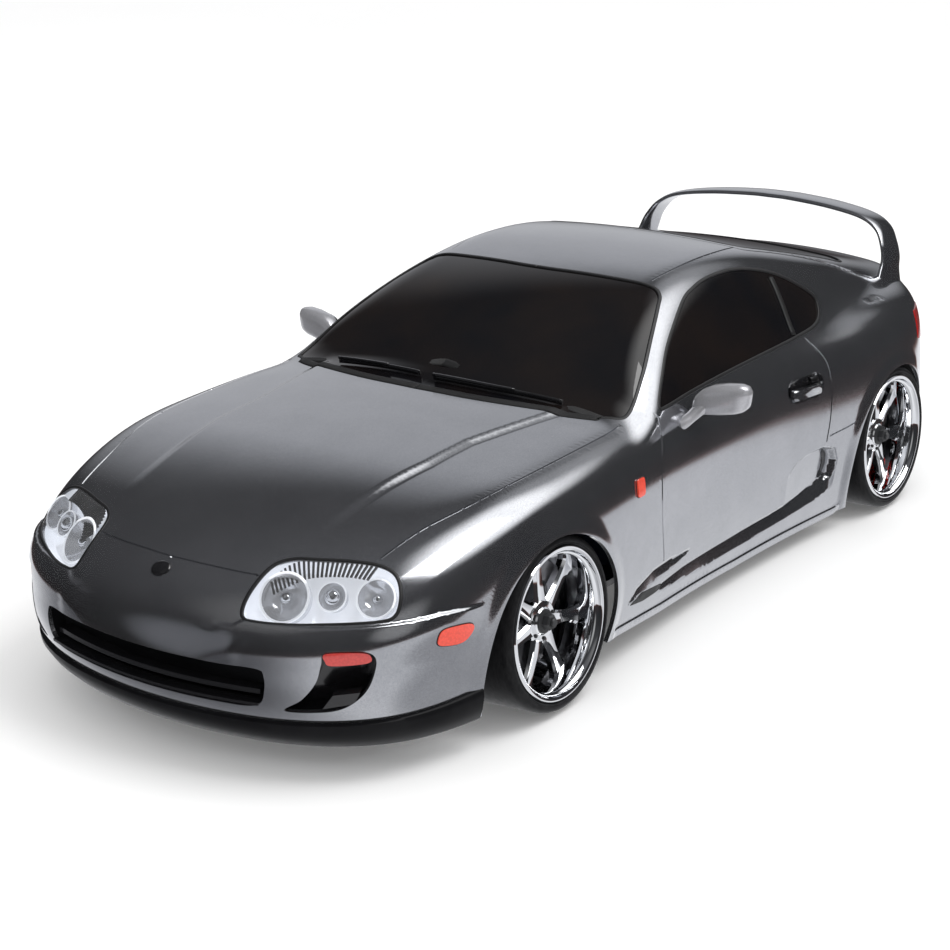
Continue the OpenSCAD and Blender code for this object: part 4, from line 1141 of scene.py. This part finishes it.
def build_intake():
    half = surface(HOLES["intake"])
    whole = np.vstack([half, half[1:-1][::-1] * [-1, 1, 1]])
    centre = np.array([0, 0, whole[:, 2].mean()])
    rings = [whole]
    for size, y in ((0.985, None), (0.97, -214.5)):
        ring = centre + (whole - centre) * [size, 1, size * 0.97]
        ring[:, 1] = whole[:, 1] + 3.0 if y is None else y
        rings.append(ring)
    p, faces = loft(rings, caps=False)
    m = len(whole)
    faces.append(tuple(2 * m + k for k in range(m)))
    make("intake_box", p, faces, LIP_BLACK, slot="black_trim", smooth_angle=35)
    bars = []
    for z, front, thick, x in ((31.6, 5.6, 1.6, 44.0), (28.2, 3.0, 0.9, 45.0)):
        line = np.linspace(-x, x, 40)
        path = np.c_[line, -228.7 + 0.0034 * line * line + front, np.full(40, z)]
        bars.append(swept(path, np.tile([0.0, 0, 1], (40, 1)), [(-2.4, -thick / 2), (-2.4, thick / 2),
            (2.4, thick / 2), (2.4, -thick / 2)], False))
    make("intake_blades", *joined(bars), TRIM, slot="black_trim", smooth_angle=40)


def build_ducts():
    p, faces = recess(HOLES["duct"], [(1.0, 0.6), (0.97, 5.0), (0.9, 10.0)], (0.55, -0.83, 0.05))
    pair("duct_box", p, faces, TRIM, slot="black_trim", smooth_angle=35)
    blade = np.array([(63.5, -211.2, 27.6), (71.5, -205.4, 29.2), (73.0, -204.0, 33.0), (66.0, -209.0, 32.0)])
    back = blade + [-1.6, 3.4, 0.4]
    p, faces = loft([blade, back])
    pair("duct_blade", p, faces, TRIM, slot="black_trim", smooth_angle=20)


# ---------------------------------------------------------------- wing, mirrors and side trim

# x, y, z, chord, thickness and lean of the hoop, from its foot to the middle
WING = [(64.4, 183.0, 85.5, 25, 4.6, 92), (63.4, 185.5, 91.5, 20.5, 3.7, 90), (62.6, 188.5, 97, 17.8, 3.2,
    84),
    (60.6, 190, 103, 16.4, 2.9, 76), (56.2, 192.6, 109.0, 15.8, 2.8, 50), (47.5, 194.5, 113.2, 16, 2.8, 19),
    (30, 196.5, 115.8, 17, 3.0, 8), (10, 198, 117, 17.5, 3.1, 2), (0, 198.1, 117.1, 17.5, 3.1, 0)]


def build_wing():
    half = smooth([np.array(w) * [1, 1, 1, 1, 1, 0.25] for w in WING], 1.3) * [1, 1, 1, 1, 1, 4]
    line = np.vstack([half[:-1], half[::-1] * [-1, 1, 1, 1, 1, -1]])
    s = np.linspace(0, math.pi, 13)
    chordwise = -0.5 * np.cos(s)
    upper = 0.5 * np.sin(s) ** 0.8 * (1.0 - 0.35 * (chordwise + 0.5)) + 0.06
    lower = -0.36 * np.sin(s) ** 0.9 * (1.0 - 0.5 * (chordwise + 0.5)) - 0.06
    shape = np.vstack([np.c_[chordwise, upper], np.c_[chordwise, lower][::-1]])
    rings = []
    for x, y, z, chord, thick, lean in line:
        up = np.array([math.sin(math.radians(lean)), 0.05, math.cos(math.radians(lean))])
        along = np.array([0.0, 1.0, -0.05])
        rings.append(np.array([x, y, z]) + np.outer(shape[:, 0] * chord, along) + np.outer(shape[:,
            1] * thick, up))
    p, faces = loft(rings)
    wing = make("hoop_wing", p, faces, PAINT, slot="shell_paint", smooth_angle=50)
    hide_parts("rear_wing")


# x, y, z of the middle, half depth and half height along the mirror head
MIRROR = [(84.2, -20.6, 83.6, 1.5, 2.4), (85.2, -20.3, 84.1, 2.8, 3.8), (87.4, -19.6, 85.2, 3.9, 5.0),
    (91.0, -18.9, 86.2, 4.4, 5.8), (96, -18.2, 87.0, 4.5, 6.0), (101.0, -17.8, 87.7, 4.3, 5.7),
    (103.8, -17.6, 88.0, 3.6, 4.9), (105.2, -17.5, 88.1, 2.3, 3.5), (105.7, -17.5, 88.1, 0.9, 1.8)]
STALK = [(89.5, -20.0, 84.4, 3.0), (87.0, -22.0, 82.2, 3.0), (85.4, -24.8, 80.0, 2.7), (84.0, -27.0, 78.4,
    3.0),
    (82.4, -28.4, 77.2, 3.4), (79.5, -29.6, 75.8, 3.9)]


def build_mirrors():
    rings = []
    for x, y, z, half_y, half_z in MIRROR:
        flat = ring_section(half_y, half_z, 28, 3.0)
        rings.append(np.c_[np.full(28, x) + flat[:, 1] * 0.12, y + flat[:, 0], z + flat[:, 1]])
    head = loft(rings)
    rings = []
    path = np.array(smooth(STALK, 0.8))
    for (x, y, z, r), along in zip(path, np.gradient(path[:, :3], axis=0)):
        side = np.cross(along, (0, 0, 1))
        side /= np.linalg.norm(side)
        up = np.cross(side, along)
        up /= np.linalg.norm(up)
        flat = ring_section(r, r * 0.72, 20, 2.0)
        rings.append(np.array([x, y, z]) + np.outer(flat[:, 0], side) + np.outer(flat[:, 1], up))
    stalk = loft(rings)
    # the mirror heads take the lightened copy of the body paint, painted light
    piece = pair("mirror_heads", *joined([head, stalk]), LIGHTENED_MIRROR_PAINT, slot="shell_paint", smooth_angle=60)
    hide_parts("mirrors")
    flat = ring_section(7.2, 3.9, 32, 3.0)
    rings = [np.c_[96.8 + flat[:, 0] * size, np.full(32, y), 87.2 + flat[:, 1] * size + flat[:, 0] * 0.1]
        for size, y in ((1.0, -15.0), (1.0, -13.6), (0.97, -13.3))]
    pair("mirror_glass", *loft(rings), CHROME, slot="silvered", smooth_angle=40)


def build_side_trim():
    # painted shade: a black sheet lies in the handle hollow in place of the shade inside the recess
    hollow = rounded([(48.8, 68.2), (52, 66.2), (71, 65.4), (75, 68), (75, 72.6), (72, 74.6), (53, 75.6),
        (49, 73.4)], 3, 0.9)
    shell_sheet("handle_hollow", to_plane(on_side(hollow)), [], TRIM, 1.6, level=0.12, rim=0.5,
        slot="black_trim")
    pair("door_handle", *raised(rounded([(51.5, 67.3), (72.5, 66.5), (73, 70.6), (52, 71.6)], 1.8, 0.8),
        1.4, 1.0),
        PAINT, slot="shell_paint", smooth_angle=45)
    pair("handle_lock", *raised(rounded([(66.5, 71.9), (71.5, 71.7), (71.5, 73.6), (66.5, 73.8)], 0.8, 0.5),
        0.3, 1.0),
        DARK_ALLOY, slot="shell_paint", smooth_angle=45)
    crescent = rounded([(76.5, 29), (80, 29), (82.4, 33), (82, 38), (79.4, 40.6), (77.8, 39.4), (79.6, 34.6),
        (78.8, 31.2)], 0.9, 0.7)
    shell_sheet("scoop_insert", to_plane(on_side(crescent)), [], TRIM, 1.4, level=0.15, rim=0.5,
        slot="black_trim")
    vent = rounded([(-72.8, 22.5), (-63.8, 24.8), (-48.5, 23), (-45.2, 20.5), (-62.2, 20.8)], 0.8, 0.8)
    shell_sheet("wing_vent", to_plane(on_side(vent)), [], MESH, 1.4, level=0.12, rim=0.4, slot="black_trim")
    uv = to_plane(on_front([(0.0, 61.8)]))
    badge = lathe([(0.05, 0.75), (1.8, 0.7), (2.9, 0.45), (3.3, 0.0), (3.3, -0.6)], 40)
    badge = (badge[0] * [1.15, 0.95, 1], badge[1])
    make("blank_badge", *placed(badge, surface(uv)[0], surface_normal(uv)[0]), TRIM, slot="black_trim",
        smooth_angle=50)


# ---------------------------------------------------------------- wheels

# (radius, height) from the outer lip inwards and back; heights point out of the wheel
RIM = [(24.6, 10.7), (26.75, 11.3), (26.85, 12.5), (26.5, 13.0), (25.8, 13.05), (25.2, 12.7), (24.9, 11.9),
    (24.5, 11.2), (23.9, 10.9), (23.6, 10.2), (23.5, 7.0), (23.1, 5.4), (22.9, 1.0), (22.9, -6.0), (23.6,
    -10.4),
    (25.2, -12.5), (26.8, -12.5), (26.8, -11.4), (24.6, -10.8), (24.2, -9.0), (23.8, 0.0), (24.2, 9.5)]
HUB = [(0.05, 6.2), (4.4, 6.2), (4.9, 5.7), (6.9, 5.5), (7.7, 4.8), (8.0, 3.4), (8.0, 0.4), (6.0, -0.9),
    (0.05, -0.9)]
TYRE = [(24.8, -10.7), (26.95, -11.2), (27.0, -12.3), (27.5, -12.8), (28.0, -12.75), (28.2, -12.98), (28.8,
    -13),
    (29.5, -12.75), (30.1, -12.15), (30.55, -11.2), (30.75, -10.2), (30.8, -9.0)]
# radius, width at the back, width of the bevelled face, back and face heights along a spoke
SPOKE = [(5.5, 6.4, 4.6, 1.6, 5.3), (8.0, 5.6, 3.9, 1.6, 5.5), (13.0, 4.7, 3.1, 1.7, 5.2), (18.5, 4.9, 3.2,
    1.8, 4.9),
    (21.5, 5.9, 4.0, 1.9, 4.9), (23.3, 7.4, 5.4, 2.0, 5.1)]
SPOKES = 7
DISC = [(8.2, -2.6), (19.4, -2.6), (19.5, -2.5), (19.5, -1.9), (19.4, -1.8), (8.2, -1.8)]


def spoke(angle):
    rings = []
    for r, back, face, low, high in SPOKE:
        mid = (low + high) / 2 + 0.7
        rings.append(np.array([(r, -back / 2, low), (r, back / 2, low), (r, back / 2, mid), (r, face / 2,
            high),
            (r, face / 6, high - 0.25), (r, -face / 6, high - 0.25), (r, -face / 2, high), (r, -back / 2,
            mid)]))
    p, faces = loft(rings)
    c, s = math.cos(angle), math.sin(angle)
    return p @ np.array([[c, s, 0], [-s, c, 0], [0, 0, 1]]), faces


def block(r0, r1, a0, a1, z0, z1, n=9):
    """Curved block about the wheel axis with softened outer edges."""
    rings = []
    for k, a in enumerate(np.radians(np.linspace(a0, a1, n))):
        inset = 0.8 if k in (0, n - 1) else 0.0
        section = [(r0 + inset, z0), (r1 - inset, z0), (r1 - inset, z1 - 0.7), (r1 - 0.7 - inset,
            z1 - inset * 0.5),
            (r0 + 0.7 + inset, z1 - inset * 0.5), (r0 + inset, z1 - 0.7)]
        rings.append(np.array([(r * math.cos(a), r * math.sin(a), z) for r, z in section]))
    return loft(rings)


def hexagon(r, z0, z1):
    rings = []
    for size, z in ((1.0, z0), (1.0, z1 - 0.5), (0.86, z1)):
        rings.append([(r * size * math.cos(k * math.pi / 3), r * size * math.sin(k * math.pi / 3),
            z) for k in range(6)])
    return loft([np.array(r) for r in rings])


WHEELS = [("fl", 1, AXLE_F, 4.0, "knuckle_left"), ("fr", -1, AXLE_F, 4.0, "knuckle_right"),
    ("rl", 1, AXLE_R, 2.0, "hub_rl"), ("rr", -1, AXLE_R, 2.0, "hub_rr")]


def build_wheels():
    n = 144
    spokes = joined([spoke(math.pi / 2 + 2 * math.pi * k / SPOKES) for k in range(SPOKES)])
    tread = TYRE + [(r, -z) for r, z in TYRE[::-1]]
    nuts = joined([(p * [1, 1, 1] + [6.2 * math.cos(a), 6.2 * math.sin(a), 0], f) for p, f, a in
        [(*hexagon(0.75, 5.3, 6.1), math.pi / 2 + 2 * math.pi * (k + 0.5) / SPOKES) for k in range(SPOKES)]])
    for corner, side, axle, camber, holder in WHEELS:
        lean = math.radians(camber)
        axis = (math.cos(lean), 0, math.sin(lean))
        wheel = "wheel_" + corner

        def fit(name, part, material, body, slot, angle):
            p, faces = placed(part, (WHEEL_X, axle, HUB_Z), axis)
            if side < 0:
                p = p * [-1, 1, 1]
                faces = [f[::-1] for f in faces]
            return make(f"{name}_{corner}", p, faces, material, body=body, slot=slot, smooth_angle=angle)

        hoop = fit("wheel_hoop", joined([lathe(RIM, n, True), lathe(HUB, 48)]), CHROME, wheel, "rim_chrome",
            35)
        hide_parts("rim_" + corner)
        fit("wheel_spokes", spokes, CHROME, wheel, "rim_chrome", 25)
        cap = [(0.05, 7.0), (3.4, 7.0), (4.2, 6.6), (4.3, 6.0)]
        fit("hub_cap", joined([lathe(cap, 40), nuts]), NYLON, wheel, "nylon", 35)
        nut = joined([hexagon(2.9, 6.8, 9.6), lathe([(0.05, 10.6), (1.3, 10.6), (1.6, 10.2), (1.6, 9.0)],
            24)])
        fit("axle_nut", nut, NYLON, wheel, "nylon", 35)
        shaft = lathe([(2.4, -0.6), (2.4, -11.0 if corner[0] == "f" else -16.8)], 24)
        hexes = hexagon(5.2, -2.9, -0.6)
        cup = lathe([(2.4, -16.4), (4.5, -16.5), (4.9, -16.9), (4.9, -23.2), (3.5, -23.2), (3.4, -22.8),
            (3.4, -17.2)], 32)
        fit("wheel_axle", joined([shaft, hexes] + ([cup] if corner[0] == "r" else [])), STEEL, wheel,
            "steel", 35)
        fit("brake_disc", lathe(DISC, 72, True), DARK_ALLOY, wheel, "steel", 35)
        tyre = fit("tyre_band", lathe(tread, n, True), RUBBER, wheel, "tyre", 40)
        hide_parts("tyre_" + corner)
        span = (22, 66) if corner[0] == "f" else (-56, -40)
        caliper = joined([block(13.2, 21.6, *span, -1.4, 1.1), block(19.9, 21.6, *span, -5.4, -1.2),
            block(15.0, 21.6, *span, -5.4, -3.2)])
        fit("brake_caliper", caliper, CALIPER if corner[0] == "f" else RED_ENAMEL, holder, "alloy", 30)


# ---------------------------------------------------------------- finishes of the chassis pieces

FINISH = [
    (CARBON, ["chassis_plate"]),
    (NYLON, ["front_bulkhead", "gearbox_case", "body_posts", "steering_rack", "lower_arm_", "hub_carrier_",
        "knuckle_"]),
    (ALLOY, ["upper_arm_", "tie_rod_", "shock_body_", "motor"]),
    (CASE, ["battery_pack", "speed_controller", "steering_servo"]),
    (FOAM, ["bumper_foam"]),
    (STEEL, ["drive_spool", "driveshaft_", "shock_shaft_"]),
    (SPRING, ["shock_spring_"]),
    (BRASS, ["pinion_gear"]),
    (WHITE_NYLON, ["servo_horn"]),
]


def finish_chassis():
    for material, starts in FINISH:
        for name, piece in NODES.items():
            if not any(name.startswith(s) for s in starts):
                continue
            piece.data.materials.clear()
            piece.data.materials.append(material)
            piece.data.shade_smooth()
            piece.data.set_sharp_from_angle(angle=math.radians(30))


COWLING = plastic("cowl_plastic", (0.008, 0.008, 0.009), 0.7, 2600, 0.5)
MESH = plastic("vent_mesh", (0.01, 0.01, 0.011), 0.5, 3000, 0.6)
# painted light: lamp shell and reflector glow with emission so the inside of the unlit lamp looks bright
LAMP_SHELL = plastic("lamp_shell", (0.84, 0.85, 0.87), 0.2, 300, 0.05, 0.06, Emission_Strength=0.42,
    Metallic=0.35)
REFLECTOR = plastic("reflector", (0.62, 0.63, 0.66), 0.12, 300, 0.05, 0.06, Emission_Strength=0.12,
    Metallic=0.75)
# colour of the painted glow on lamp shell and reflector
for lit in (LAMP_SHELL, REFLECTOR):
    lit.node_tree.nodes["Principled BSDF"].inputs["Emission Color"].default_value = (0.9, 0.93, 1.0, 1)
# painted light: the mirror heads are body colour; this copy of the paint is lighter and less metallic so they
# look brighter
LIGHTENED_MIRROR_PAINT = paint("mirror_paint_lightened", (0.42, 0.42, 0.46), (0.50, 0.50, 0.54), 0.3)
LIGHTENED_MIRROR_PAINT.node_tree.nodes["Principled BSDF"].inputs["Metallic"].default_value = 0.55
LIP_BLACK = plastic("lip_black", (0.006, 0.006, 0.007), 0.32, 500, 0.03, Specular_IOR_Level=0.08)
CALIPER = metal("cast_caliper", (0.5, 0.5, 0.52), 0.4)
RED_ENAMEL = plastic("red_enamel", (0.5, 0.02, 0.015), 0.25, 900, 0.05)

build_glass()
build_lamps()
build_markers()
build_tail()
build_lip()
build_intake()
build_ducts()
build_wing()
build_mirrors()
build_side_trim()
build_wheels()
finish_chassis()

# ---------------------------------------------------------------- stage, light and camera


def build_stage():
    size = 9.0
    mesh = bpy.data.meshes.new("floor")
    mesh.from_pydata([(-size, -size, 0), (size, -size, 0), (size, size, 0), (-size, size, 0)], [],
        [(0, 1, 2, 3)])
    floor = bpy.data.objects.new("floor", mesh)
    bpy.context.scene.collection.objects.link(floor)
    m = Nodes("pale_floor")
    m.set(Roughness=0.6, Specular_IOR_Level=0.1, Emission_Strength=0.1)
    m.bsdf.inputs["Emission Color"].default_value = (1, 1, 1, 1)
    m.link(m.ramp(m.noise(3, 2), [(0.3, grey(0.90)), (0.7, grey(0.92))]), m.bsdf.inputs["Base Color"])
    mesh.materials.append(m.material)
    floor.visible_glossy = False


def build_world():
    """Even light on matt things; shiny things see a dim room with soft panels."""
    world = bpy.data.worlds.new("studio")
    bpy.context.scene.world = world
    world.use_nodes = True
    tree = world.node_tree
    tree.nodes.clear()
    add = tree.nodes.new
    link = tree.links.new

    def math_node(kind, a, b):
        node = add("ShaderNodeMath")
        node.operation = kind
        for socket, value in zip(node.inputs, (a, b)):
            if isinstance(value, (int, float)):
                socket.default_value = value
            else:
                link(value, socket)
        return node.outputs[0]

    direction = add("ShaderNodeTexCoord").outputs["Generated"]
    split = add("ShaderNodeSeparateXYZ")
    link(direction, split.inputs[0])
    room = add("ShaderNodeValToRGB")
    stops = [(0.0, (0.95, 0.96, 0.98)), (0.385, (0.85, 0.86, 0.89)), (0.392, (0.16, 0.075, 0.06)),
        (0.40, (0.04, 0.032, 0.033)), (0.5, (0.03, 0.031, 0.034)), (0.62, (0.03, 0.031, 0.033)),
        (0.85, (0.06, 0.061, 0.065)), (1.0, (0.14, 0.142, 0.15))]
    while len(room.color_ramp.elements) < len(stops):
        room.color_ramp.elements.new(0.5)
    for e, (at, v) in zip(room.color_ramp.elements, stops):
        e.position = at
        e.color = (*v, 1)
    link(math_node("MULTIPLY_ADD", split.outputs[2], 0.5), room.inputs[0])
    room.inputs[0].links[0].from_node.inputs[2].default_value = 0.5
    total = room.outputs[0]
    for toward, inner, outer, colour, blend in PANELS:
        lobe = add("ShaderNodeVectorMath")
        lobe.operation = "DOT_PRODUCT"
        link(direction, lobe.inputs[0])
        lobe.inputs[1].default_value = Vector(toward).normalized()
        soft = add("ShaderNodeMapRange")
        soft.interpolation_type = "SMOOTHSTEP"
        soft.inputs["From Min"].default_value = math.cos(math.radians(outer))
        soft.inputs["From Max"].default_value = math.cos(math.radians(inner))
        link(lobe.outputs["Value"], soft.inputs["Value"])
        mix = add("ShaderNodeMix")
        mix.data_type = "RGBA"
        mix.blend_type = blend
        link(soft.outputs[0], mix.inputs["Factor"])
        link(total, mix.inputs["A"])
        mix.inputs["B"].default_value = (*colour, 1)
        total = mix.outputs["Result"]
    path = add("ShaderNodeLightPath")
    shiny = math_node("MAXIMUM", path.outputs["Is Glossy Ray"], path.outputs["Is Singular Ray"])
    mix = add("ShaderNodeMix")
    mix.data_type = "RGBA"
    link(shiny, mix.inputs["Factor"])
    mix.inputs["A"].default_value = (1.0, 1.0, 1.0, 1)
    link(total, mix.inputs["B"])
    background = add("ShaderNodeBackground")
    link(mix.outputs["Result"], background.inputs["Color"])
    background.inputs["Strength"].default_value = 1.0
    out = add("ShaderNodeOutputWorld")
    link(background.outputs[0], out.inputs[0])


PANELS = [
    # toward, inner and outer angle of the soft edge, colour, how it goes over the room
    ((-0.54, -0.80, -0.25), 12, 62, (0.25, 0.25, 0.26), "MULTIPLY"),
    ((-0.50, -0.52, -0.66), 22, 62, (0.42, 0.42, 0.43), "MULTIPLY"),
    ((0.70, 0.35, -0.62), 8, 30, (0.58, 0.58, 0.59), "MULTIPLY"),
    ((-0.45, -0.88, 0.12), 5, 22, (0.19, 0.195, 0.21), "MIX"),
    ((-0.56, 0.77, 0.30), 10, 30, (0.52, 0.53, 0.56), "MIX"),
    ((0.02, 0.70, 0.71), 6, 20, (0.45, 0.455, 0.47), "MIX"),
    ((0.36, 0.42, 0.83), 16, 32, (2.2, 2.2, 2.2), "MIX"),
    ((-0.1, -0.6, 0.8), 5, 28, (0.2, 0.2, 0.2), "MIX"),
    ((0.9, -0.3, 0.25), 4, 22, (0.4, 0.4, 0.4), "MIX"),
]


def build_light():
    lamp = bpy.data.lights.new("key", "AREA")
    lamp.size = 0.8
    lamp.energy = 9
    key = bpy.data.objects.new("key", lamp)
    bpy.context.scene.collection.objects.link(key)
    key.location = (0.7, 0.2, 1.4)
    key.rotation_euler = (Vector((0, 0, 0.05)) - key.location).to_track_quat("-Z", "Y").to_euler()


def build_camera():
    data = bpy.data.cameras.new("camera")
    data.lens = 80.68
    data.sensor_width = 36
    data.clip_start = 0.01
    camera = bpy.data.objects.new("camera", data)
    bpy.context.scene.collection.objects.link(camera)
    place = Vector((0.4579, -0.6741, 0.3071))
    aim = Vector((-0.0003, -0.0413, 0.04575))
    turn = (aim - place).to_track_quat("-Z", "Y").to_matrix() @ Matrix.Rotation(math.radians(-0.342), 3, "Z")
    camera.matrix_world = Matrix.Translation(place) @ turn.to_4x4()
    bpy.context.scene.camera = camera


build_stage()
build_world()
build_light()
build_camera()
bpy.context.scene.view_settings.view_transform = "Standard"

bpy.context.view_layer.update()
